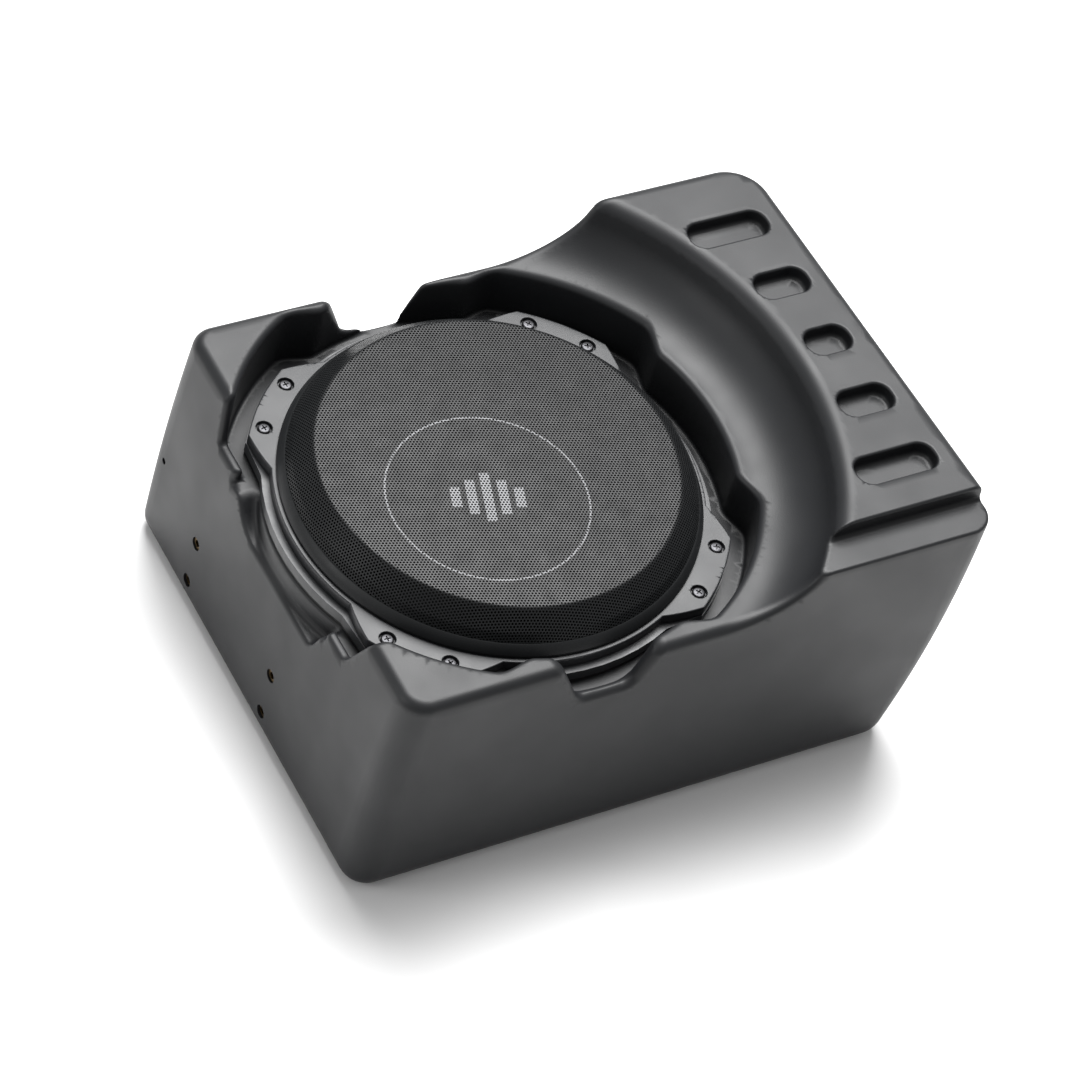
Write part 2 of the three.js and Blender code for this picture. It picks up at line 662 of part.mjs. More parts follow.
// ---- motor: the winding hangs in the gap between the pole and the top plate ----
const FORMER_WALL = 0.6;
const WINDING_WALL = 1;
const POLE_RADIUS = COIL_RADIUS - 1.5;
const VENT_RADIUS = 8;
const FORMER = tube(COIL_RADIUS, COIL_RADIUS + FORMER_WALL, BASKET_FLOOR - 16, CONE_NECK + 1);
const WINDING_INNER = COIL_RADIUS + FORMER_WALL + GAP;
const WINDING = tube(WINDING_INNER, WINDING_INNER + WINDING_WALL, BASKET_FLOOR - 14, BASKET_FLOOR + 6);
const TOP_PLATE = tube(COIL_RADIUS + 3, MAGNET_RADIUS - 5, TOP_PLATE_TOP - PLATE, TOP_PLATE_TOP);
const RING_MAGNET = tube(COIL_RADIUS + 9, MAGNET_RADIUS, MAGNET_TOP - MAGNET_HEIGHT, MAGNET_TOP);
const YOKE = [
  [VENT_RADIUS, YOKE_TOP - PLATE], [MAGNET_RADIUS - 4, YOKE_TOP - PLATE], [MAGNET_RADIUS - 4, YOKE_TOP],
  [POLE_RADIUS, YOKE_TOP], [POLE_RADIUS, TOP_PLATE_TOP], [VENT_RADIUS, TOP_PLATE_TOP],
];

function aboutDriver(profile) {
  return turned(profile, DRIVER_X, DRIVER_Y, 28);
}

function screwBlank(length) {
  const head = TRIM_TOP - COUNTERBORE + GAP;
  const rise = 1.9;
  return {
    profile: [
      [0, head - length], [SCREW_RADIUS, head - length + 3], [SCREW_RADIUS, head],
      [SCREW_HEAD, head], [SCREW_HEAD * 0.8, head + rise], [0, head + rise],
    ],
    top: head + rise,
  };
}

function buildGrilleScrew(x, y) {
  const { profile, top } = screwBlank(26);
  const slotA = box(x - 2, x + 2, y - 0.5, y + 0.5, top - 1.1, top + 1);
  const slotB = box(x - 0.5, x + 0.5, y - 2, y + 2, top - 1.1, top + 1);
  return cut(turned(profile, x, y, 10), slotA, slotB);
}

// The crowned dome of the grille, sunk by a depth below its outer face.
function domeCurve(depth, foot) {
  const top = RIM_PLANE + GRILLE_RISE - depth;
  const waist = (GRILLE_RADIUS + GRILLE_FLAT) / 2;
  return [
    [0, top + 1.6],
    [GRILLE_FLAT * 0.5, top + 1.2],
    [GRILLE_FLAT - 1.5 - depth * 0.5, top],
    [waist + 0.8 - depth, RIM_PLANE + GRILLE_RISE / 2 + 1.2 - depth * 0.5],
    [GRILLE_RADIUS - depth * 1.2, foot],
  ];
}

const GRILLE_SEGMENTS = 48;
const GRILLE_SHEET = 1.2;
const SCRIM = 0.5;

function buildGrille() {
  const foot = TRIM_TOP + GAP;
  const lip = foot + GRILLE_SHEET;
  const hem = GRILLE_RADIUS - GRILLE_HEM;
  const inside = domeCurve(GRILLE_SHEET, lip).reverse();
  const profile = [...domeCurve(0, lip), [GRILLE_RADIUS, foot], [hem, foot], [hem, lip], ...inside];
  return turned(profile, DRIVER_X, DRIVER_Y, GRILLE_SEGMENTS);
}

function buildScrim() {
  const foot = TRIM_TOP + GAP + GRILLE_SHEET + GAP;
  const outside = domeCurve(GRILLE_SHEET + GAP, foot);
  const inside = domeCurve(GRILLE_SHEET + GAP + SCRIM, foot).reverse();
  return turned([...outside, ...inside], DRIVER_X, DRIVER_Y, GRILLE_SEGMENTS);
}

// ---- amplifier ----
function panelScrewPositions() {
  const places = [];
  for (const i of [-1, 0, 1]) {
    for (const j of [-1, 1]) {
      const x = PANEL_X + (i * (PANEL_LENGTH - PANEL_LAND)) / 2;
      places.push([x, PANEL_Z + (j * (PANEL_HEIGHT - PANEL_LAND)) / 2]);
    }
  }
  return places;
}

const PANEL_GASKET = 1;
const PLATE_Y = PANEL_SEAT_Y + GAP + PANEL_GASKET + GAP;
const PLATE_FACE = PLATE_Y + PANEL_PLATE;
const BOARD_FACE = PLATE_Y - BOARD_STANDOFF;
const KNOB_ROW_Z = PANEL_Z + 20;
const SOCKET_ROW_Z = PANEL_Z - 16;
const KNOB_X = [-1, 0, 1].map((i) => PANEL_X - 46 + i * KNOB_PITCH);
const SWITCH_X = PANEL_X - 2;
const SWITCH_THROW = 3;
const LED_X = PANEL_X + 16;
const LED_RADIUS = 1.5;
const POWER_X = PANEL_X - 61;
const POWER_SIZE = [34, 18];
const FUSE_X = PANEL_X - 33;
const FUSE_SIZE = [15, 6];
const INPUT_X = PANEL_X - 12;
const INPUT_SIZE = [20, 12];
const RCA_X = [PANEL_X + 9, PANEL_X + 24];
const RCA_RADIUS = 4.2;

function windowIn(x, z, size, clearance) {
  const [w, h] = size;
  const [halfWidth, halfHeight] = [w / 2 + clearance, h / 2 + clearance];
  return box(x - halfWidth, x + halfWidth, BOARD_FACE + 1, BODY_WIDTH, z - halfHeight, z + halfHeight);
}

function boreIn(x, z, radius) {
  return turnedAlongY(disc(radius, PLATE_Y - 2, PLATE_FACE + 2), x, z, 16);
}

function boardPosts() {
  const places = [];
  for (const i of [-1, 1]) {
    for (const j of [-1, 1]) {
      places.push([PANEL_X + i * (BOARD_LENGTH / 2 - 4), PANEL_Z + j * (BOARD_HEIGHT / 2 - 6)]);
    }
  }
  return places;
}

function buildPanel() {
  const plate = box(
    PANEL_X - PANEL_LENGTH / 2, PANEL_X + PANEL_LENGTH / 2, PLATE_Y, PLATE_FACE,
    PANEL_Z - PANEL_HEIGHT / 2, PANEL_Z + PANEL_HEIGHT / 2,
  );
  const fins = [];
  const finRun = PANEL_LENGTH / 2 - PANEL_LAND - FIN_START - 2;
  const finHalf = PANEL_HEIGHT / 2 - PANEL_LAND - 1;
  for (let i = 0; i < FIN_COUNT; i += 1) {
    const x = PANEL_X + FIN_START + (i * finRun) / (FIN_COUNT - 1);
    const rise = PLATE_FACE + FIN_HEIGHT;
    fins.push(box(x - FIN / 2, x + FIN / 2, PLATE_Y + 1, rise, PANEL_Z - finHalf, PANEL_Z + finHalf));
  }
  const posts = boardPosts().map(([x, z]) => turnedAlongY(disc(3, BOARD_FACE + GAP, PLATE_Y + 1), x, z, 12));
  const holes = panelScrewPositions().map(([x, z]) => boreIn(x, z, 1.9));
  const knobs = KNOB_X.map((x) => boreIn(x, KNOB_ROW_Z, 3));
  return cut(
    union(plate, ...fins, ...posts), ...holes, ...knobs,
    windowIn(SWITCH_X, KNOB_ROW_Z, [3 + 2 * SWITCH_THROW, 3], 0.5),
    boreIn(LED_X, KNOB_ROW_Z, LED_RADIUS + GAP),
    windowIn(POWER_X, SOCKET_ROW_Z, POWER_SIZE, GAP),
    windowIn(FUSE_X, SOCKET_ROW_Z, FUSE_SIZE, GAP),
    windowIn(INPUT_X, SOCKET_ROW_Z, INPUT_SIZE, GAP),
    ...RCA_X.map((x) => boreIn(x, SOCKET_ROW_Z, RCA_RADIUS + GAP)),
  );
}

function buildPanelGasket() {
  const y = PANEL_SEAT_Y + GAP;
  const [x0, x1] = [PANEL_X - PANEL_LENGTH / 2, PANEL_X + PANEL_LENGTH / 2];
  const [z0, z1] = [PANEL_Z - PANEL_HEIGHT / 2, PANEL_Z + PANEL_HEIGHT / 2];
  const sheet = box(x0, x1, y, y + PANEL_GASKET, z0, z1);
  const inside = box(x0 + PANEL_LAND, x1 - PANEL_LAND, y - 1, y + 3, z0 + PANEL_LAND, z1 - PANEL_LAND);
  const holes = panelScrewPositions().map(([x, z]) => turnedAlongY(disc(1.9, y - 1, y + 3), x, z, 10));
  return cut(sheet, inside, ...holes);
}

// The board carries the potentiometer, switch and fuse bodies as raised blocks.
function buildBoard() {
  const face = BOARD_FACE;
  const sheet = box(
    PANEL_X - BOARD_LENGTH / 2, PANEL_X + BOARD_LENGTH / 2, face - BOARD, face,
    PANEL_Z - BOARD_HEIGHT / 2, PANEL_Z + BOARD_HEIGHT / 2,
  );
  const pots = KNOB_X.map((x) => box(x - 5, x + 5, face - 0.5, face + 5.5, KNOB_ROW_Z - 5, KNOB_ROW_Z + 5));
  const slide = box(SWITCH_X - 6, SWITCH_X + 6, face - 0.5, face + 5, KNOB_ROW_Z - 3, KNOB_ROW_Z + 3);
  const clip = box(FUSE_X - 8, FUSE_X + 8, face - 0.5, face + 3, SOCKET_ROW_Z - 4, SOCKET_ROW_Z + 4);
  return union(sheet, ...pots, slide, clip);
}

function buildKnob(x) {
  const foot = PLATE_FACE + GAP;
  const top = foot + 5;
  const knob = turnedAlongY([
    [0, BOARD_FACE + 5.5 + GAP], [2.6, BOARD_FACE + 5.5 + GAP], [2.6, foot], [KNOB_RADIUS, foot],
    [KNOB_RADIUS, top - 0.8], [KNOB_RADIUS - 0.8, top], [0, top],
  ], x, KNOB_ROW_Z, 14);
  return cut(knob, box(x - 0.6, x + 0.6, top - 0.8, top + 2, KNOB_ROW_Z + 1, KNOB_ROW_Z + KNOB_RADIUS + 1));
}

// The stem rests at the left end of its slot.
function buildSwitch() {
  const x = SWITCH_X - SWITCH_THROW;
  return box(x - 1.5, x + 1.5, BOARD_FACE + 5 + GAP, PLATE_FACE + 3.5, KNOB_ROW_Z - 1.5, KNOB_ROW_Z + 1.5);
}

function buildLed() {
  const foot = BOARD_FACE + GAP;
  const tip = PLATE_FACE + 1.8;
  const profile = [
    [0, foot], [LED_RADIUS, foot], [LED_RADIUS, tip - 1.2], [LED_RADIUS - 0.5, tip - 0.3], [0, tip],
  ];
  return turnedAlongY(profile, LED_X, KNOB_ROW_Z, 12);
}

function socketBlock(x, size, y0, y1) {
  const [w, h] = size;
  return box(x - w / 2, x + w / 2, y0, y1, SOCKET_ROW_Z - h / 2, SOCKET_ROW_Z + h / 2);
}

function buildPowerBlock() {
  const face = PLATE_FACE + 5.5;
  const entries = [-1, 0, 1].map((i) => (
    turnedAlongY(disc(3.6, face - 10, face + 2), POWER_X + i * 11, SOCKET_ROW_Z, 14)
  ));
  return cut(socketBlock(POWER_X, POWER_SIZE, BOARD_FACE + GAP, face), ...entries);
}

function buildInputSocket() {
  const face = PLATE_FACE + 4.5;
  const [w, h] = INPUT_SIZE;
  const hollow = socketBlock(INPUT_X, [w - 3, h - 3], face - 9, face + 2);
  const pins = [-1.5, -0.5, 0.5, 1.5].map((i) => (
    box(
      INPUT_X + i * 4 - 0.5, INPUT_X + i * 4 + 0.5, face - 10, face - 5,
      SOCKET_ROW_Z - 0.5, SOCKET_ROW_Z + 0.5,
    )
  ));
  return union(cut(socketBlock(INPUT_X, INPUT_SIZE, BOARD_FACE + GAP, face), hollow), ...pins);
}

function buildFuse() {
  return union(
    socketBlock(FUSE_X, [FUSE_SIZE[0] - 1, FUSE_SIZE[1] - 1.4], PLATE_FACE - 4, PLATE_FACE + 4.5),
    socketBlock(FUSE_X - 4.2, [3, 0.8], BOARD_FACE + 3 + GAP, PLATE_FACE - 3.5),
    socketBlock(FUSE_X + 4.2, [3, 0.8], BOARD_FACE + 3 + GAP, PLATE_FACE - 3.5),
  );
}

function buildRca(x) {
  const face = PLATE_FACE + 6;
  const barrel = RCA_RADIUS;
  const collar = barrel + 1.2;
  const pin = 1.6;
  return turnedAlongY([
    [0, BOARD_FACE + GAP], [barrel, BOARD_FACE + GAP], [barrel, PLATE_FACE + GAP], [collar, PLATE_FACE + GAP],
    [collar, PLATE_FACE + 1.5], [barrel, PLATE_FACE + 1.5], [barrel, face],
    [pin, face], [pin, face - 5], [0, face - 5],
  ], x, SOCKET_ROW_Z, 12);
}

function buildPanelScrew(x, z) {
  const head = PLATE_FACE + GAP;
  const profile = [
    [0, PANEL_SEAT_Y - 5], [1.5, PANEL_SEAT_Y - 4], [1.5, head],
    [3.2, head], [2.6, head + 1.8], [0, head + 1.8],
  ];
  const slotA = box(x - 1.7, x + 1.7, head + 0.9, head + 3, z - 0.4, z + 0.4);
  const slotB = box(x - 0.4, x + 0.4, head + 0.9, head + 3, z - 1.7, z + 1.7);
  return cut(turnedAlongY(profile, x, z, 8), slotA, slotB);
}

const BOARD_BACK = BOARD_FACE - BOARD - GAP;
const CHOKE_RADIUS = 14;
const CHOKE_WIRE = 6.5;
const CHOKE_X = PANEL_X + 58;

function buildChoke() {
  const points = [];
  for (let i = 0; i < 8; i += 1) {
    const angle = rad(45 * i);
    const depth = BOARD_BACK - CHOKE_WIRE + CHOKE_WIRE * Math.sin(angle);
    points.push([CHOKE_RADIUS + CHOKE_WIRE * Math.cos(angle), depth]);
  }
  return turnedAlongY(points, CHOKE_X, PANEL_Z, 20);
}

const CAPACITORS = [[PANEL_X + 20, PANEL_Z - 14], [PANEL_X + 20, PANEL_Z + 14], [PANEL_X - 4, PANEL_Z - 14]];

function buildCapacitor(x, z) {
  return turnedAlongY([
    [0, BOARD_BACK - 28], [8, BOARD_BACK - 28], [9, BOARD_BACK - 27],
    [9, BOARD_BACK - 4], [8.3, BOARD_BACK - 3],
    [9, BOARD_BACK - 2], [9, BOARD_BACK], [0, BOARD_BACK],
  ], x, z, 14);
}

// The terminal strip lies against the sloping wall of the basket.
const TERMINAL_ANGLE = 60;
const TERMINAL_SPREAD = 7;
const STRIP = 3;
const TAB_LENGTH = 8;
const STRIP_Z = BASKET_FLOOR + 24;
const STRIP_R = BASKET_FOOT + (STRIP_Z - BASKET_FLOOR - 4) * Math.tan(WALL_TILT);

function onStrip(geometry, reach) {
  const out = STRIP / 2 + GAP + reach;
  geometry.rotateY(WALL_TILT);
  geometry.translate(STRIP_R + out * Math.cos(WALL_TILT), 0, STRIP_Z - out * Math.sin(WALL_TILT));
  return geometry.rotateZ(rad(TERMINAL_ANGLE)).translate(DRIVER_X, DRIVER_Y, 0);
}

function buildTerminals() {
  const strip = new THREE.BoxGeometry(STRIP, 26, 12);
  const tabs = [-1, 1].map((side) => {
    const tab = new THREE.BoxGeometry(TAB_LENGTH, 5, 1).translate(0, side * TERMINAL_SPREAD, 0);
    return solid(onStrip(tab, TAB_LENGTH / 2));
  });
  return union(solid(onStrip(strip, 0)), ...tabs);
}

function stripPoint(side, reach) {
  const geometry = new THREE.BufferGeometry();
  geometry.setAttribute('position', new THREE.Float32BufferAttribute([0, side * TERMINAL_SPREAD, 0], 3));
  return new THREE.Vector3().fromBufferAttribute(onStrip(geometry, reach).attributes.position, 0);
}

function buildWire(side) {
  const boardX = PANEL_X - 52 - side * 6;
  const path = new THREE.CatmullRomCurve3([
    stripPoint(side, TAB_LENGTH + GAP),
    stripPoint(side, TAB_LENGTH + 4),
    new THREE.Vector3(boardX - 1, BOARD_BACK - 9, STRIP_Z - 22),
    new THREE.Vector3(boardX, BOARD_BACK - 5, PANEL_Z - 14),
    new THREE.Vector3(boardX, BOARD_BACK, PANEL_Z - 15),
  ]);
  const circle = new THREE.Shape();
  circle.absarc(0, 0, 1.3, 0, Math.PI * 2, false);
  const options = { steps: 9, extrudePath: path, curveSegments: 4, bevelEnabled: false };
  return solid(new THREE.ExtrudeGeometry(circle, options));
}

// ---- assembly ----
add('enclosure_shell', buildEnclosure(), 0x26272a, 0.62, 0);
add('baffle_gasket', buildBaffleGasket(), 0x141414, 0.95, 0);
add('woofer_basket', buildBasket(), 0x1b1c1e, 0.5, 0.3);
add('grille_trim_ring', buildTrimRing(), 0x1d1e20, 0.45, 0);
add('grille_dome', buildGrille(), 0x232426, 0.5, 0.6);
add('grille_scrim', buildScrim(), 0x0a0a0a, 0.98, 0);
screwPositions().forEach(([x, y], i) => {
  add(`grille_screw_${i + 1}`, buildGrilleScrew(x, y), 0x1a1a1c, 0.4, 0.8);
});
add('surround', buildSurround(), 0x121212, 0.85, 0);
add('cone', buildCone(), 0x17181a, 0.7, 0);
add('dust_cap', buildDustCap(), 0x17181a, 0.6, 0);
add('spider', buildSpider(), 0xb98a3c, 0.9, 0);
add('voice_coil_former', aboutDriver(FORMER), 0xb9bcc0, 0.4, 0.9);
add('voice_coil_winding', aboutDriver(WINDING), 0xa8622e, 0.45, 0.9);
add('motor_top_plate', aboutDriver(TOP_PLATE), 0x3a3c40, 0.5, 0.9);
add('ring_magnet', aboutDriver(RING_MAGNET), 0x2c2c2e, 0.8, 0.1);
add('pole_and_back_plate', aboutDriver(YOKE), 0x3a3c40, 0.5, 0.9);
add('speaker_terminal_strip', buildTerminals(), 0x6b4a2a, 0.7, 0);
add('amp_heat_sink_panel', buildPanel(), 0x1c1d1f, 0.55, 0.7);
add('amp_gasket', buildPanelGasket(), 0x141414, 0.95, 0);
add('amp_circuit_board', buildBoard(), 0x1f5a34, 0.6, 0);
add('toroid_choke', buildChoke(), 0xa8622e, 0.5, 0.7);
CAPACITORS.forEach(([x, z], i) => {
  add(`filter_capacitor_${i + 1}`, buildCapacitor(x, z), 0x1f2430, 0.5, 0.2);
});
add('power_terminal_block', buildPowerBlock(), 0x151515, 0.6, 0);
add('blade_fuse', buildFuse(), 0xc8742a, 0.35, 0);
add('high_level_input_socket', buildInputSocket(), 0xd8d4c8, 0.6, 0);
add('rca_socket_left', buildRca(RCA_X[0]), 0xc9a24a, 0.3, 0.9);
add('rca_socket_right', buildRca(RCA_X[1]), 0xc9a24a, 0.3, 0.9);
['gain_knob', 'crossover_knob', 'bass_boost_knob'].forEach((name, i) => {
  add(name, buildKnob(KNOB_X[i]), 0x101011, 0.6, 0);
});
add('phase_switch', buildSwitch(), 0x0f0f10, 0.5, 0);
add('status_led', buildLed(), 0x2c6fd8, 0.2, 0);
panelScrewPositions().forEach(([x, z], i) => {
  add(`amp_screw_${i + 1}`, buildPanelScrew(x, z), 0x1a1a1c, 0.4, 0.8);
});
BRACKET_HOLES.forEach(([y, z], i) => {
  const end = insertStart() + INSERT_LENGTH;
  const sleeve = turnedAlongX(tube(2.2, INSERT_RADIUS, insertStart(), end), y, z, 12);
  add(`bracket_insert_${i + 1}`, sleeve, 0x8a6f3c, 0.4, 0.9);
});
add('speaker_wire_positive', buildWire(1), 0x8e1f1f, 0.6, 0);
add('speaker_wire_negative', buildWire(-1), 0x161616, 0.6, 0);

export default group;
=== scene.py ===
"""Powered car subwoofer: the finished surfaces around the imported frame.

A moulded ABS enclosure with a pocketed ridge, a shallow woofer under a domed perforated
grille, and a finned amplifier panel in the back wall. Sizes are in millimetres until a
mesh is made, which is in metres like the frame.
"""
import functools
import math

import bmesh
import bpy
import numpy as np
import openvdb
from mathutils import Matrix, Vector


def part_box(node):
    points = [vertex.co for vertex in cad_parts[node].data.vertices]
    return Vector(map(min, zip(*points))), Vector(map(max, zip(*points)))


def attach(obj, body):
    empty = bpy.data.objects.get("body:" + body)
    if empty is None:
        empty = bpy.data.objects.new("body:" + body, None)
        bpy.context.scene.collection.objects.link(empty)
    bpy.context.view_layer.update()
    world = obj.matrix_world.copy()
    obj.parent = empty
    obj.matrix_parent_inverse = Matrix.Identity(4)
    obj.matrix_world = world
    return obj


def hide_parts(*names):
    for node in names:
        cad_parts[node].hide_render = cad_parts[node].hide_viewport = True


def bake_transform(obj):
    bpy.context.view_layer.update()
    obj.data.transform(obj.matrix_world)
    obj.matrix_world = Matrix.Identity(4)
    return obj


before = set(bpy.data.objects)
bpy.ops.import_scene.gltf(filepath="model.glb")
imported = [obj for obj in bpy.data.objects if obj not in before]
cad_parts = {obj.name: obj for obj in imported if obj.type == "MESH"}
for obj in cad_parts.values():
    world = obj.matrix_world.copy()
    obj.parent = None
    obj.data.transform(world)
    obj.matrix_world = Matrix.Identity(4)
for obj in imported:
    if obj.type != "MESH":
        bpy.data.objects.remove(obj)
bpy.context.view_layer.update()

bl_info = {
    "name": "Powered car subwoofer",
    "version": (1, 0, 0),
    "blender": (4, 5, 0),
    "location": "3D View > Sidebar > Subwoofer",
    "description": "Builds the finished surfaces of a powered car subwoofer around its frame",
    "category": "Object",
}

MM = 0.001
BODY = "enclosure"


# ---- places read from the frame, in millimetres ----
def node_box(node):
    low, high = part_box(node)
    return np.array(low) / MM, np.array(high) / MM


SHELL_LOW, SHELL_HIGH = node_box("enclosure_shell")
GRILLE_LOW, GRILLE_HIGH = node_box("grille_dome")
TRIM_LOW, TRIM_HIGH = node_box("grille_trim_ring")
PANEL_LOW, PANEL_HIGH = node_box("amp_heat_sink_panel")
DRIVER_X, DRIVER_Y = (GRILLE_LOW[:2] + GRILLE_HIGH[:2]) / 2
GRILLE_RADIUS = (GRILLE_HIGH[0] - GRILLE_LOW[0]) / 2
SEAT = node_box("baffle_gasket")[0][2] - 0.3
RIDGE_TOP = SHELL_HIGH[2]
RIM_PLANE = SEAT + 16
BLOCK_TOP = RIM_PLANE + 24
SHELF_TOP = RIM_PLANE + 18
SILL_TOP = RIM_PLANE - 8
SCREW_CIRCLE = GRILLE_RADIUS + 9
SCREW_HALF_ANGLE = 8
EAR_ANGLES = (45, 135, 225, 315)
CUTOUT_RADIUS = GRILLE_RADIUS - 3
EAR_RADIUS = GRILLE_RADIUS + 16.5
EAR_HALF_ANGLE = 11.5
EAR_FLANK_ANGLE = 21
TRIM_RADIUS = GRILLE_RADIUS + 2.5
SCREW_HOLE = 2.4
PANEL_LAND = 10
PANEL_SEAT_Y = PANEL_LOW[1] + 7.5


# ---- settings a user would change ----
def length(name, description, default):
    return bpy.props.FloatProperty(name=name, description=description, default=default * MM,
                                   min=0.0, unit="LENGTH", precision=5)


def colour(name, description, default):
    return bpy.props.FloatVectorProperty(name=name, description=description, subtype="COLOR",
                                         size=3, min=0.0, max=1.0, default=linear(default))


def linear(code):
    """sRGB hex code to the linear values a shader takes."""
    values = [int(code[i:i + 2], 16) / 255 for i in (1, 3, 5)]
    return tuple(v / 12.92 if v <= 0.04045 else ((v + 0.055) / 1.055) ** 2.4 for v in values)


class EnclosureSettings(bpy.types.PropertyGroup):
    pitch: length("Mesh pitch", "Spacing of the grid the moulding is meshed on", 1.15)
    corner_front: length("Front corners", "Radius of the two front upright corners", 16)
    corner_back_left: length("Back left corner", "Radius of the back left upright corner", 14)
    corner_back_right: length("Back right corner", "Radius of the back right upright corner", 24)
    foot_edge: length("Foot edge", "Radius where the walls meet the base", 12)
    top_edge: length("Top edge", "Radius along the ridge and block tops", 6.5)
    slope_fillet: length("Slope fillet", "Radius of the hollow under the ridge", 24)
    wall: length("Wall", "Thickness of the moulded wall", 6)
    shade: colour("Shade", "Colour of the moulded ABS", "#18191b")


class GrilleSettings(bpy.types.PropertyGroup):
    pitch: length("Hole pitch", "Distance between neighbouring holes", 1.9)
    hole: length("Hole", "Width of one hole", 1.25)
    sheet: length("Sheet", "Thickness of the perforated steel", 0.8)
    crease: length("Crease", "Radius where the crown turns down", 3)
    turn: bpy.props.FloatProperty(name="Row angle", description="Direction of the rows of holes",
                                  default=math.radians(-17.9), subtype="ANGLE")
    shade: colour("Shade", "Colour of the powder coat", "#1c1d1e")


class TrimSettings(bpy.types.PropertyGroup):
    edge: length("Edge", "Radius of the ring's edges", 0.7)
    bore: length("Counterbore", "Radius of the recess round a screw head", 4.6)
    bore_depth: length("Counterbore depth", "Depth of that recess", 2.5)
    shade: colour("Shade", "Colour of the satin trim", "#232426")


class FastenerSettings(bpy.types.PropertyGroup):
    head: length("Head radius", "Radius of a grille screw's pan head", 3.7)
    recess: length("Recess", "Reach of the cross recess", 1.9)
    shade: colour("Shade", "Colour of the black zinc", "#3c3c3e")


class StudioSettings(bpy.types.PropertyGroup):
    distance: length("Camera distance", "From the camera to the point it looks at", 2526.3)
    azimuth: bpy.props.FloatProperty(name="Azimuth", description="Direction the camera looks in",
                                     default=math.radians(-41.011), subtype="ANGLE")
    elevation: bpy.props.FloatProperty(name="Elevation", description="Height of the camera",
                                       default=math.radians(48.295), subtype="ANGLE")
    roll: bpy.props.FloatProperty(name="Roll", description="Turn of the camera about its axis",
                                  default=math.radians(17.71), subtype="ANGLE")
    lens: bpy.props.FloatProperty(name="Lens", description="Focal length in millimetres",
                                  default=151.02, min=1.0)
    aim: bpy.props.FloatVectorProperty(name="Aim", description="Point the camera looks at",
                                       default=(-0.0229, -0.0163, 0.1), subtype="TRANSLATION")
    floor_shade: colour("Floor", "Colour of the floor", "#f4f4f4")


# ---- distance fields: negative inside, in millimetres ----
def round_meet(a, b, radius):
    """What lies inside both, its edge rounded."""
    u = np.maximum(a + radius, 0)
    v = np.maximum(b + radius, 0)
    return np.minimum(np.maximum(a, b), -radius) + np.hypot(u, v)


def round_cut(solid, tool, radius):
    """The solid less the tool, with a rounded edge."""
    return round_meet(solid, -tool, radius)


def most(fields):
    """What lies inside every field."""
    return functools.reduce(np.maximum, fields)


def least(fields):
    """What lies inside any of the fields."""
    return functools.reduce(np.minimum, fields)


def slab(value, low, high):
    return np.maximum(low - value, value - high)


def polar(x, y):
    """Radius and angle in degrees from the nearest ear's centre line."""
    radius = np.hypot(x - DRIVER_X, y - DRIVER_Y)
    angle = np.degrees(np.arctan2(y - DRIVER_Y, x - DRIVER_X)) % 90
    return radius, np.abs(angle - 45)


def eared(x, y, radius, ear_radius, half, flank):
    """A disc that swells to a larger radius over four ears."""
    r, off = polar(x, y)
    share = np.clip((off - half) / (flank - half), 0, 1)
    edge = ear_radius + (radius - ear_radius) * share
    run = math.radians(flank - half) * (radius + ear_radius) / 2
    lean = math.cos(math.atan((ear_radius - radius) / run))
    return (r - edge) * np.where((share > 0) & (share < 1), lean, 1)


def smooth_eared(x, y, radius, ear_radius, half, flank):
    r, off = polar(x, y)
    share = np.clip((off - half) / (flank - half), 0, 1)
    share = share * share * (3 - 2 * share)
    return (r - ear_radius - (radius - ear_radius) * share) * 0.9


LEFT_LEAN = 11
RIGHT_TAPER = 24
RIGHT_SKEW = 8
FACE_DRAFT = 2
SKIN = 0.15
BODY_DEPTH = SHELL_HIGH[1] - SHELL_LOW[1]
NOTCH_FRONT_X = DRIVER_X - 2
NOTCH_BACK_X = DRIVER_X - 8
NOTCH_FOOT = 16
NOTCH_MOUTH = 32
SIDE_NOTCH_FOOT = 79
SIDE_NOTCH_MOUTH_FRONT = 94.5
SIDE_NOTCH_MOUTH_BACK = 86
NOTCH_REACH = 60
RIM_X = SHELL_LOW[0] + 10.6
RIM_HALF_GAP = 58
WELL_RADIUS = GRILLE_RADIUS + 16.5
WELL_EAR_RADIUS = GRILLE_RADIUS + 28
WELL_EAR_HALF_ANGLE = 17
WELL_EAR_FLANK_ANGLE = 26
CHANNEL_FLOOR = RIM_PLANE - 31
CHANNEL_FRONT = 49
CHANNEL_FRONT_RUN = 6
CHANNEL_BACK = 34
CHANNEL_BACK_RUN = 14
CHANNEL_INNER_RADIUS = GRILLE_RADIUS + 7.5
RABBET_DEPTH = 11
RABBET_WIDTH = 23
RABBET_START = DRIVER_X + 100
BAFFLE = 8


def outer_block(x, y, z, s):
    """The plain block that every cut starts from."""
    rise = np.clip(z / RIDGE_TOP, 0, 1)
    left = SHELL_LOW[0] + SKIN + LEFT_LEAN * rise ** 2.2 - x
    taper = RIGHT_TAPER * (1 - rise) ** 2.4 + RIGHT_SKEW * (y - SHELL_LOW[1]) / BODY_DEPTH
    right = x - (SHELL_HIGH[0] - SKIN - taper)
    front = SHELL_LOW[1] + SKIN + FACE_DRAFT * rise - y
    back = y - (SHELL_HIGH[1] - SKIN - FACE_DRAFT * rise)
    corners = [
        round_meet(left, front, s.corner_front / MM),
        round_meet(right, front, s.corner_front / MM),
        round_meet(left, back, s.corner_back_left / MM),
        round_meet(right, back, s.corner_back_right / MM),
    ]
    return most(corners)


ARC_X = DRIVER_X - 24
ARC_Y = DRIVER_Y - 3
ARC_RADIUS = 205
SLOPE_ANGLE = math.radians(69)


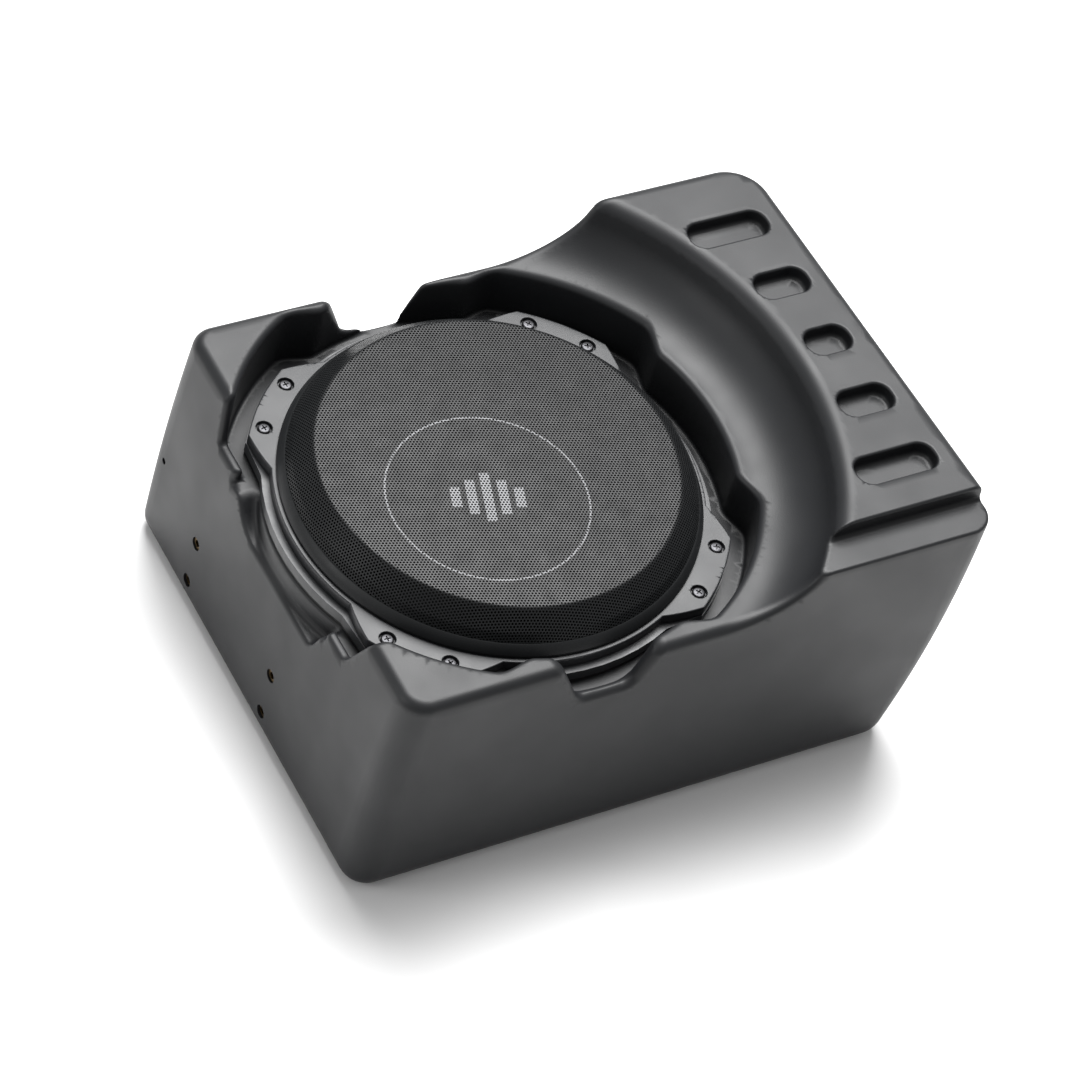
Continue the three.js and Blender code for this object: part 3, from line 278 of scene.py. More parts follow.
def bowl_tool(x, y, z, s):
    """All that is cut away above the shelf, the blocks and the hollow slope of the ridge."""
    reach = ARC_RADIUS - (RIDGE_TOP - z) / math.tan(SLOPE_ANGLE)
    slope = (np.hypot(x - ARC_X, y - ARC_Y) - reach) * math.sin(SLOPE_ANGLE)
    bowl = round_meet(SHELF_TOP - z, slope, s.slope_fillet / MM)
    bowl = np.maximum(bowl, NOTCH_FRONT_X - 3 - x)
    return np.minimum(bowl, np.maximum(BLOCK_TOP - z, x - NOTCH_FRONT_X))


def leaning(value, foot, mouth, z):
    """Distance past a side that leans from its foot on the sill to its mouth at the blocks."""
    lean = (mouth - foot) / (BLOCK_TOP - SILL_TOP)
    return (value - foot - lean * (z - SILL_TOP)) / math.hypot(1, lean)


def notch_tool(across, centre, z):
    side = leaning(np.abs(across - centre), NOTCH_FOOT, NOTCH_MOUTH, z)
    return round_meet(side, SILL_TOP - z, 4)


def side_notch_tool(x, y, z):
    front = leaning(DRIVER_Y - y, SIDE_NOTCH_FOOT, SIDE_NOTCH_MOUTH_FRONT, z)
    back = leaning(y - DRIVER_Y, SIDE_NOTCH_FOOT, SIDE_NOTCH_MOUTH_BACK, z)
    tool = round_meet(np.maximum(front, back), SILL_TOP - z, 3)
    return np.maximum(tool, x - DRIVER_X + NOTCH_REACH)


def well_tool(x, y, z):
    """The deep seat of the woofer, kept off the left wall beside two of its ears."""
    outline = smooth_eared(x, y, WELL_RADIUS, WELL_EAR_RADIUS, WELL_EAR_HALF_ANGLE,
                           WELL_EAR_FLANK_ANGLE)
    rim = round_meet(x - RIM_X, RIM_HALF_GAP - np.abs(y - DRIVER_Y), 2)
    outline = round_meet(outline, -rim, 2)
    return round_meet(outline, SEAT - z, 2)


def channel_tool(x, y, z):
    """The low lip of the left wall, outside the woofer's flange."""
    rise = (z - CHANNEL_FLOOR) / (SEAT - CHANNEL_FLOOR)
    front = (DRIVER_Y - CHANNEL_FRONT - CHANNEL_FRONT_RUN * rise - y) * 0.93
    back = (y - DRIVER_Y - CHANNEL_BACK - CHANNEL_BACK_RUN * rise) * 0.73
    tool = round_meet(round_meet(CHANNEL_FLOOR - z, front, 3), back, 8)
    ring = CHANNEL_INNER_RADIUS - np.hypot(x - DRIVER_X, y - DRIVER_Y)
    tool = round_meet(tool, ring, 4)
    return np.maximum(tool, x - DRIVER_X + GRILLE_RADIUS - 17)


def rabbet_tool(x, y, z):
    tool = round_meet(RIDGE_TOP - RABBET_DEPTH - z, y - SHELL_LOW[1] - RABBET_WIDTH, 3)
    return np.maximum(tool, RABBET_START - x)


POCKET_LENGTHS = (51, 34, 28, 34, 51)
POCKET_WIDTH = 19
POCKET_DEPTH = 9
POCKET_PITCH = 46.3
POCKET_MARGIN = 15
POCKET_CORNER = POCKET_WIDTH * 0.44


def pocket_tool(x, y, z):
    tools = []
    for i, reach in enumerate(POCKET_LENGTHS):
        centre = DRIVER_Y + (2 - i) * POCKET_PITCH
        end = SHELL_HIGH[0] - POCKET_MARGIN - RIGHT_SKEW * (centre - SHELL_LOW[1]) / BODY_DEPTH
        u = np.abs(x - end + reach / 2) - reach / 2 + POCKET_CORNER
        v = np.abs(y - centre) - POCKET_WIDTH / 2 + POCKET_CORNER
        outline = np.hypot(np.maximum(u, 0), np.maximum(v, 0)) + np.minimum(np.maximum(u, v), 0)
        tools.append(round_meet(outline - POCKET_CORNER, RIDGE_TOP - POCKET_DEPTH - z, 3))
    return least(tools)


def enclosure_distance(x, y, z, s):
    edge = s.top_edge / MM
    block = outer_block(x, y, z, s)
    solid = round_meet(block, -z, s.foot_edge / MM)
    solid = round_meet(solid, z - RIDGE_TOP, edge)
    if np.max(z) > SEAT - 30:
        solid = round_cut(solid, bowl_tool(x, y, z, s), edge)
        solid = round_cut(solid, well_tool(x, y, z), 4)
        front = np.maximum(notch_tool(x, NOTCH_FRONT_X, z), y - DRIVER_Y + NOTCH_REACH)
        back = np.maximum(notch_tool(x, NOTCH_BACK_X, z), DRIVER_Y + NOTCH_REACH - y)
        solid = round_cut(solid, np.minimum(front, back), 5)
        solid = round_cut(solid, side_notch_tool(x, y, z), 2.5)
        solid = round_cut(solid, channel_tool(x, y, z), 2.5)
    if np.max(z) > RIDGE_TOP - 25:
        solid = round_cut(solid, rabbet_tool(x, y, z), 1.8)
        solid = round_cut(solid, pocket_tool(x, y, z), 1.6)
    return round_cut(solid, cavity_distance(x, y, z, block, s), 1)


def cavity_distance(x, y, z, block, s):
    """The room inside the walls, with the land that the amplifier panel is screwed to."""
    wall = s.wall / MM
    room = round_meet(block + wall, slab(z, wall, SEAT - BAFFLE), 4)
    channel = most([
        x + 150, slab(y, DRIVER_Y - 62, DRIVER_Y + 55), CHANNEL_FLOOR - wall - z])
    room = round_cut(room, channel, 1)
    beyond = ARC_RADIUS + wall - np.hypot(x - ARC_X, y - ARC_Y)
    rabbet = SHELL_LOW[1] + 35 - y
    ridge = most([block + wall, slab(z, SEAT - 10, RIDGE_TOP - 16), beyond, rabbet])
    pad = most([
        slab(x, PANEL_LOW[0] - PANEL_LAND, PANEL_HIGH[0] + PANEL_LAND),
        slab(z, PANEL_LOW[2] - PANEL_LAND, PANEL_HIGH[2] + PANEL_LAND),
        SHELL_HIGH[1] - 19 - y,
    ])
    return round_cut(np.minimum(room, ridge), pad, 1)


def trim_distance(x, y, z, s):
    """The eared ring over the basket's flange, with a counterbore at each screw."""
    edge = s.edge / MM
    ring = eared(x, y, TRIM_RADIUS, EAR_RADIUS, EAR_HALF_ANGLE, EAR_FLANK_ANGLE)
    inner = CUTOUT_RADIUS - np.hypot(x - DRIVER_X, y - DRIVER_Y)
    ring = round_meet(round_meet(ring, inner, edge), z - TRIM_HIGH[2], edge)
    ring = np.maximum(ring, TRIM_LOW[2] - z)
    shafts = []
    heads = []
    for sx, sy in screw_places():
        away = np.hypot(x - sx, y - sy)
        shafts.append(away - SCREW_HOLE)
        heads.append(round_meet(away - s.bore / MM, TRIM_HIGH[2] - s.bore_depth / MM - z, 0.4))
    ring = np.maximum(ring, -least(shafts))
    return round_cut(ring, least(heads), 0.4)


def screw_places():
    places = []
    for ear in EAR_ANGLES:
        for side in (-1, 1):
            angle = math.radians(ear + side * SCREW_HALF_ANGLE)
            places.append((DRIVER_X + SCREW_CIRCLE * math.cos(angle),
                           DRIVER_Y + SCREW_CIRCLE * math.sin(angle)))
    return places


# ---- meshes ----
def slope_at(points, distance):
    """The field's rate of change along each axis."""
    step = 0.05
    x, y, z = points.T
    return np.stack([
        distance(x + step, y, z) - distance(x - step, y, z),
        distance(x, y + step, z) - distance(x, y - step, z),
        distance(x, y, z + step) - distance(x, y, z - step),
    ], axis=1) / (2 * step)


def settle(points, distance, rounds=3):
    """Moves points along the field's slope until they lie on the surface."""
    for _ in range(rounds):
        value = distance(*points.T)
        slope = slope_at(points, distance)
        size = np.maximum((slope * slope).sum(axis=1), 0.25)
        move = np.clip(value / size, -1, 1)
        points = points - slope * move[:, None]
    return points


def meshed(name, distance, low, high, pitch, adaptivity):
    """A closed mesh of a distance field's surface inside a box."""
    margin = 3 * pitch
    axes = [np.arange(a - margin, b + margin + pitch, pitch) for a, b in zip(low, high)]
    x = axes[0][:, None]
    y = axes[1][None, :]
    values = np.empty([len(a) for a in axes], dtype=np.float32)
    band = 3 * pitch
    for k, z in enumerate(axes[2]):
        values[:, :, k] = np.clip(distance(x, y, z), -band, band)
    grid = openvdb.FloatGrid(band)
    grid.copyFromArray(values)
    points, triangles, quads = grid.convertToPolygons(0.0, adaptivity)
    origin = np.array([a[0] for a in axes])
    points = settle(np.asarray(points, dtype=np.float64) * pitch + origin, distance)
    faces = quads.tolist() + triangles.tolist()
    mesh = bpy.data.meshes.new(name)
    mesh.from_pydata((points * MM).tolist(), [], faces)
    return placed(name, mesh)


def placed(name, mesh):
    """Puts a mesh in the scene, its name in lower case with commas dropped and spaces turned to
    underscores.
    """
    plain = name.lower().replace(",", "").replace(" ", "_")
    piece = bpy.data.objects.new(plain, mesh)
    bpy.context.scene.collection.objects.link(piece)
    return piece


def from_bmesh(name, bm):
    mesh = bpy.data.meshes.new(name)
    bm.to_mesh(mesh)
    bm.free()
    return placed(name, mesh)


def baked(piece):
    """Applies a piece's modifiers by keeping only their result."""
    graph = bpy.context.evaluated_depsgraph_get()
    mesh = bpy.data.meshes.new_from_object(piece.evaluated_get(graph), depsgraph=graph)
    old = piece.data
    piece.modifiers.clear()
    piece.data = mesh
    mesh.name = piece.name
    bpy.data.meshes.remove(old)
    return piece


def shaded(piece, angle):
    """Smooth shading, with edges kept sharp past an angle in degrees."""
    piece.data.shade_smooth()
    piece.data.set_sharp_from_angle(angle=math.radians(angle))
    return piece


def vertex_points(mesh):
    points = np.empty(len(mesh.vertices) * 3)
    mesh.vertices.foreach_get("co", points)
    return points.reshape(-1, 3) / MM


def field_shaded(piece, distance, angle):
    """Takes normals from the field wherever a face follows it, and from the face elsewhere."""
    mesh = piece.data
    slope = slope_at(vertex_points(mesh), distance)
    slope /= np.maximum(np.linalg.norm(slope, axis=1), 1e-6)[:, None]
    corners = np.empty(len(mesh.loops), dtype=np.int32)
    mesh.loops.foreach_get("vertex_index", corners)
    counts = np.empty(len(mesh.polygons), dtype=np.int32)
    mesh.polygons.foreach_get("loop_total", counts)
    flat = np.empty(len(mesh.polygons) * 3)
    mesh.polygons.foreach_get("normal", flat)
    flat = np.repeat(flat.reshape(-1, 3), counts, axis=0)
    smooth = slope[corners]
    follows = (smooth * flat).sum(axis=1) > math.cos(math.radians(angle))
    mesh.shade_smooth()
    mesh.normals_split_custom_set(np.where(follows[:, None], smooth, flat).tolist())
    return piece


def decimated(piece, ratio):
    if ratio < 1:
        modifier = piece.modifiers.new("Fewer faces", "DECIMATE")
        modifier.ratio = ratio
        baked(piece)
    return piece


def triangle_count(piece):
    return sum(len(face.vertices) - 2 for face in piece.data.polygons)


def carved(piece, tool):
    """Takes a tool's volume out of a piece and removes the tool."""
    modifier = piece.modifiers.new("Carve", "BOOLEAN")
    modifier.object = tool
    modifier.operation = "DIFFERENCE"
    modifier.solver = "MANIFOLD"
    baked(piece)
    mesh = tool.data
    bpy.data.objects.remove(tool)
    bpy.data.meshes.remove(mesh)
    return piece


AXES = {
    "x": Matrix(((0, 0, 1, 0), (1, 0, 0, 0), (0, 1, 0, 0), (0, 0, 0, 1))),
    "y": Matrix(((1, 0, 0, 0), (0, 0, 1, 0), (0, -1, 0, 0), (0, 0, 0, 1))),
    "z": Matrix.Identity(4),
}


def add_box(bm, low, high):
    low = Vector(low) * MM
    size = Vector(high) * MM - low
    place = Matrix.Translation(low + size / 2) @ Matrix.Diagonal((*size, 1))
    bmesh.ops.create_cube(bm, size=1, matrix=place)


def add_turned(bm, profile, centre, axis="z", segments=48, sweep=360.0, start=0.0):
    """A turned solid from (radius, height) pairs about an axis through a centre."""
    whole = sweep >= 360
    steps = segments if whole else segments + 1
    place = Matrix.Translation(Vector(centre) * MM) @ AXES[axis]
    rings = []
    for radius, height in profile:
        if radius <= 1e-6:
            rings.append([bm.verts.new(place @ Vector((0, 0, height * MM)))])
            continue
        ring = []
        for i in range(steps):
            angle = math.radians(start + sweep * i / segments)
            point = Vector((radius * math.cos(angle), radius * math.sin(angle), height)) * MM
            ring.append(bm.verts.new(place @ point))
        rings.append(ring)
    closed = profile[0][0] > 1e-6
    pairs = list(zip(rings, rings[1:])) + ([(rings[-1], rings[0])] if closed else [])
    for lower, upper in pairs:
        count = max(len(lower), len(upper))
        for i in range(count if whole else count - 1):
            j = (i + 1) % count
            corners = [lower[i % len(lower)], lower[j % len(lower)],
                       upper[j % len(upper)], upper[i % len(upper)]]
            unique = list(dict.fromkeys(corners))
            if len(unique) > 2:
                bm.faces.new(unique)
    if not whole:
        bm.faces.new([ring[0] for ring in rings])
        bm.faces.new([ring[-1] for ring in reversed(rings)])


def turned(name, profile, centre, axis="z", segments=96, sweep=360.0, start=0.0):
    bm = bmesh.new()
    add_turned(bm, profile, centre, axis, segments, sweep, start)
    bmesh.ops.recalc_face_normals(bm, faces=bm.faces)
    return from_bmesh(name, bm)


def arc(centre, radius, start, end, steps):
    """Points of an arc in the plane of a profile."""
    points = []
    for i in range(steps + 1):
        angle = math.radians(start + (end - start) * i / steps)
        points.append((centre[0] + radius * math.cos(angle), centre[1] + radius * math.sin(angle)))
    return points


# ---- node trees ----
def put(tree, kind, settings=None, inputs=None):
    """Adds a node with its settings, and sets or links its inputs."""
    node = tree.nodes.new(kind)
    for key, value in (settings or {}).items():
        setattr(node, key, value)
    for key, value in (inputs or {}).items():
        if isinstance(value, bpy.types.NodeSocket):
            tree.links.new(value, node.inputs[key])
        else:
            node.inputs[key].default_value = value
    return node


def calc(tree, operation, *values):
    """The result of a Math node."""
    node = put(tree, "ShaderNodeMath", {"operation": operation}, dict(enumerate(values)))
    return node.outputs[0]


def geometry_tree(name, sockets):
    tree = bpy.data.node_groups.new(name, "GeometryNodeTree")
    tree.interface.new_socket("Geometry", in_out="INPUT", socket_type="NodeSocketGeometry")
    for label, kind in sockets:
        tree.interface.new_socket(label, in_out="INPUT", socket_type=kind)
    tree.interface.new_socket("Geometry", in_out="OUTPUT", socket_type="NodeSocketGeometry")
    return tree, put(tree, "NodeGroupInput"), put(tree, "NodeGroupOutput")


def set_inputs(modifier, values):
    for item in modifier.node_group.interface.items_tree:
        if item.in_out == "INPUT" and item.name in values:
            modifier[item.identifier] = values[item.name]


def perforation_tree():
    """Hexagonal cells of perforated sheet, laid over a turned profile by its run."""
    tree, source, target = geometry_tree("Perforated dome", [
        ("Pitch", "NodeSocketFloat"), ("Hole", "NodeSocketFloat"), ("Sheet", "NodeSocketFloat"),
        ("Crease", "NodeSocketFloat"), ("Reach", "NodeSocketFloat"), ("Turn", "NodeSocketFloat"),
        ("Sector", "NodeSocketInt"), ("Sectors", "NodeSocketInt"),
        ("Finish", "NodeSocketMaterial"),
    ])
    take = source.outputs

    def add(kind, inputs, settings=None, output=0):
        return put(tree, kind, settings, inputs).outputs[output]

    def joined(parts):
        node = put(tree, "GeometryNodeJoinGeometry")
        for part in parts:
            tree.links.new(part, node.inputs[0])
        return node.outputs[0]

    # two grids, one set half a step over, make the triangular lattice of hole centres
    row = calc(tree, "MULTIPLY", take["Pitch"], math.sqrt(3))
    spans = []
    for spacing in (take["Pitch"], row):
        steps = calc(tree, "CEIL", calc(tree, "DIVIDE", take["Reach"], spacing))
        spans.append((calc(tree, "MULTIPLY", steps, 2.0), spacing))
    counts = [calc(tree, "ADD", span, 1.0) for span, _ in spans]
    sizes = [calc(tree, "MULTIPLY", span, spacing) for span, spacing in spans]
    lattices = []
    for shift in (0.0, 0.5):
        grid = add("GeometryNodeMeshGrid", {"Size X": sizes[0], "Size Y": sizes[1],
                                            "Vertices X": counts[0], "Vertices Y": counts[1]})
        step = add("ShaderNodeCombineXYZ", {"X": take["Pitch"], "Y": row})
        step = add("ShaderNodeVectorMath", {0: step, "Scale": shift}, {"operation": "SCALE"})
        lattices.append(add("GeometryNodeTransform", {"Geometry": grid, "Translation": step}))
    spin = add("ShaderNodeCombineXYZ", {"Z": take["Turn"]})
    lattice = add("GeometryNodeTransform", {"Geometry": joined(lattices), "Rotation": spin})

    # only the centres inside the reach and this sector stay
    place = add("GeometryNodeInputPosition", {})
    run = add("ShaderNodeVectorMath", {0: place}, {"operation": "LENGTH"}, "Value")
    far = calc(tree, "GREATER_THAN", run, take["Reach"])
    x, y, _ = put(tree, "ShaderNodeSeparateXYZ", None, {0: place}).outputs
    angle = calc(tree, "ADD", calc(tree, "ARCTAN2", y, x), math.pi)
    share = calc(tree, "DIVIDE", angle, math.tau)
    share = calc(tree, "FLOOR", calc(tree, "MULTIPLY", share, take["Sectors"]))
    share = calc(tree, "MINIMUM", share, calc(tree, "SUBTRACT", take["Sectors"], 1.0))
    same = calc(tree, "COMPARE", share, take["Sector"], 0.1)
    drop = calc(tree, "MAXIMUM", far, calc(tree, "SUBTRACT", 1.0, same))
    lattice = add("GeometryNodeDeleteGeometry", {"Geometry": lattice, "Selection": drop},
                  {"domain": "POINT"})

    # one cell: a hexagon with a hexagonal hole
    corner = calc(tree, "DIVIDE", take["Pitch"], math.sqrt(3))
    disc = add("GeometryNodeMeshCircle", {"Vertices": 6, "Radius": corner}, {"fill_type": "NGON"})
    pulled = put(tree, "GeometryNodeExtrudeMesh", {"mode": "FACES"},
                 {"Mesh": disc, "Offset Scale": 0.0})
    shrunk = add("GeometryNodeScaleElements", {
        "Geometry": pulled.outputs["Mesh"], "Selection": pulled.outputs["Top"],
        "Scale": calc(tree, "DIVIDE", take["Hole"], take["Pitch"])})
    cell = add("GeometryNodeDeleteGeometry",
               {"Geometry": shrunk, "Selection": pulled.outputs["Top"]}, {"domain": "FACE"})
    heading = add("ShaderNodeCombineXYZ", {"Z": calc(tree, "ADD", take["Turn"], math.pi / 6)})
    cells = add("GeometryNodeInstanceOnPoints",
                {"Points": lattice, "Instance": cell, "Rotation": heading})
    sheet = add("GeometryNodeRealizeInstances", {"Geometry": cells})
    sheet = add("GeometryNodeMergeByDistance",
                {"Geometry": sheet, "Distance": calc(tree, "MULTIPLY", take["Pitch"], 0.05)})

    # the flat sheet is wrapped over the profile, keeping each point's run from the crown
    profile = add("GeometryNodeMeshToCurve", {"Mesh": take["Geometry"]})
    crease = add("GeometryNodeFilletCurve", {
        "Curve": profile, "Radius": take["Crease"], "Count": 5, "Limit Radius": True},
        {"mode": "POLY"})
    sample = add("GeometryNodeSampleCurve", {"Curves": crease, "Length": run},
                 {"mode": "LENGTH"}, "Position")
    radius, _, height = put(tree, "ShaderNodeSeparateXYZ", None, {0: sample}).outputs
    flat = add("ShaderNodeCombineXYZ", {"X": x, "Y": y})
    outwards = add("ShaderNodeVectorMath", {0: flat}, {"operation": "NORMALIZE"})
    spread = add("ShaderNodeVectorMath", {0: outwards, "Scale": radius}, {"operation": "SCALE"})
    lift = add("ShaderNodeCombineXYZ", {"Z": height})
    final = add("ShaderNodeVectorMath", {0: spread, 1: lift}, {"operation": "ADD"})
    dome = add("GeometryNodeSetPosition", {"Geometry": sheet, "Position": final})

    # the inside face and the walls of the holes close the sheet
    inward = calc(tree, "MULTIPLY", take["Sheet"], -1.0)
    inner = add("GeometryNodeExtrudeMesh", {"Mesh": dome, "Offset Scale": inward,
                                            "Individual": False}, {"mode": "FACES"}, "Mesh")
    inner = add("GeometryNodeFlipFaces", {"Mesh": inner})
    solid = add("GeometryNodeMergeByDistance",
                {"Geometry": joined((dome, inner)), "Distance": 0.002 * MM})
    solid = add("GeometryNodeRealizeInstances", {"Geometry": solid})
    finish = add("GeometryNodeSetMaterial", {"Geometry": solid, "Material": take["Finish"]})
    tree.links.new(finish, target.inputs[0])
    return tree


def fastener_tree():
    """Copies of one screw set on points, each turned by its own angle."""
    tree, source, target = geometry_tree("Screws on points", [
        ("Screw", "NodeSocketObject"), ("Tilt", "NodeSocketFloat"), ("Seed", "NodeSocketInt"),
        ("Finish", "NodeSocketMaterial")])
    take = source.outputs
    screw = put(tree, "GeometryNodeObjectInfo", None, {"Object": take["Screw"]})
    twist = put(tree, "FunctionNodeRandomValue", {"data_type": "FLOAT"},
                {2: 0.0, 3: math.pi / 2, "Seed": take["Seed"]})
    heading = put(tree, "ShaderNodeCombineXYZ", None, {"Z": twist.outputs[1]})
    tilt = put(tree, "ShaderNodeCombineXYZ", None, {"X": take["Tilt"]})
    heading = put(tree, "FunctionNodeEulerToRotation", None, {0: heading.outputs[0]})
    tilt = put(tree, "FunctionNodeEulerToRotation", None, {0: tilt.outputs[0]})
    both = put(tree, "FunctionNodeRotateRotation", {"rotation_space": "LOCAL"},
               {0: tilt.outputs[0], 1: heading.outputs[0]})
    copies = put(tree, "GeometryNodeInstanceOnPoints", None, {
        "Points": take["Geometry"], "Instance": screw.outputs["Geometry"],
        "Rotation": both.outputs[0]})
    real = put(tree, "GeometryNodeRealizeInstances", None, {"Geometry": copies.outputs[0]})
    finish = put(tree, "GeometryNodeSetMaterial", None,
                 {"Geometry": real.outputs[0], "Material": take["Finish"]})
    tree.links.new(finish.outputs[0], target.inputs[0])
    return tree


# ---- materials ----
MARK_OFFSET = (-0.019, -0.023)
MARK_TURN = math.radians(-18)
MARK_RADIUS = 57.0
MARK_LINE = 0.55
BAR_PITCH = 9.0
BAR_HALF = 2.8
BAR_TALL = 17.0
BAR_STEP = 5.0
BARS_TO_A_SIDE = 2
MARK_INK = "#77787a"


class Finish:
    """A procedural material under construction, in object coordinates."""

    def __init__(self, name, shade, roughness, metallic=0.0, **more):
        self.material = bpy.data.materials.new(name)
        self.material.use_nodes = True
        self.tree = self.material.node_tree
        self.tree.nodes.clear()
        inputs = {"Base Color": (*shade, 1), "Roughness": roughness, "Metallic": metallic, **more}
        self.shader = put(self.tree, "ShaderNodeBsdfPrincipled", None, inputs)
        put(self.tree, "ShaderNodeOutputMaterial", None, {"Surface": self.shader.outputs[0]})
        self.coords = put(self.tree, "ShaderNodeTexCoord").outputs["Object"]
        self.normal = None

    def noise(self, size, detail=3.0, stretch=(1, 1, 1)):
        place = put(self.tree, "ShaderNodeMapping", None,
                    {"Vector": self.coords, "Scale": stretch})
        inputs = {"Vector": place.outputs[0], "Scale": 1 / (size * MM), "Detail": detail}
        return put(self.tree, "ShaderNodeTexNoise", None, inputs).outputs[0]

    def cells(self, size):
        inputs = {"Vector": self.coords, "Scale": 1 / (size * MM)}
        return put(self.tree, "ShaderNodeTexVoronoi", None, inputs).outputs["Distance"]

    def bands(self, size, axis):
        settings = {"bands_direction": axis}
        inputs = {"Vector": self.coords, "Scale": math.tau / (20 * size * MM)}
        return put(self.tree, "ShaderNodeTexWave", settings, inputs).outputs[1]

    def bricks(self, wide, row, gap):
        inputs = {"Vector": self.coords, "Scale": 1.0, "Brick Width": wide * MM,
                  "Row Height": row * MM, "Mortar Size": gap * MM}
        return put(self.tree, "ShaderNodeTexBrick", None, inputs).outputs["Fac"]

    def spread(self, value, low, high):
        """Runs the roughness between two values over a pattern."""
        made = put(self.tree, "ShaderNodeMapRange", None,
                   {0: value, 1: 0.25, 2: 0.75, 3: low, 4: high})
        self.tree.links.new(made.outputs[0], self.shader.inputs["Roughness"])

    def tint(self, value, low, high, start=0.3, end=0.7):
        """Runs the base colour between two shades over a pattern."""
        ramp = put(self.tree, "ShaderNodeValToRGB", None, {0: value})
        for stop, place, shade in zip(ramp.color_ramp.elements, (start, end), (low, high)):
            stop.position = place
            stop.color = (*shade, 1)
        self.tree.links.new(ramp.outputs[0], self.shader.inputs["Base Color"])

    def relief(self, height, depth, strength):
        """Raises the surface by a pattern, to a depth in millimetres."""
        inputs = {"Height": height, "Distance": depth * MM, "Strength": strength}
        if self.normal:
            inputs["Normal"] = self.normal
        self.normal = put(self.tree, "ShaderNodeBump", None, inputs).outputs[0]
        self.tree.links.new(self.normal, self.shader.inputs["Normal"])


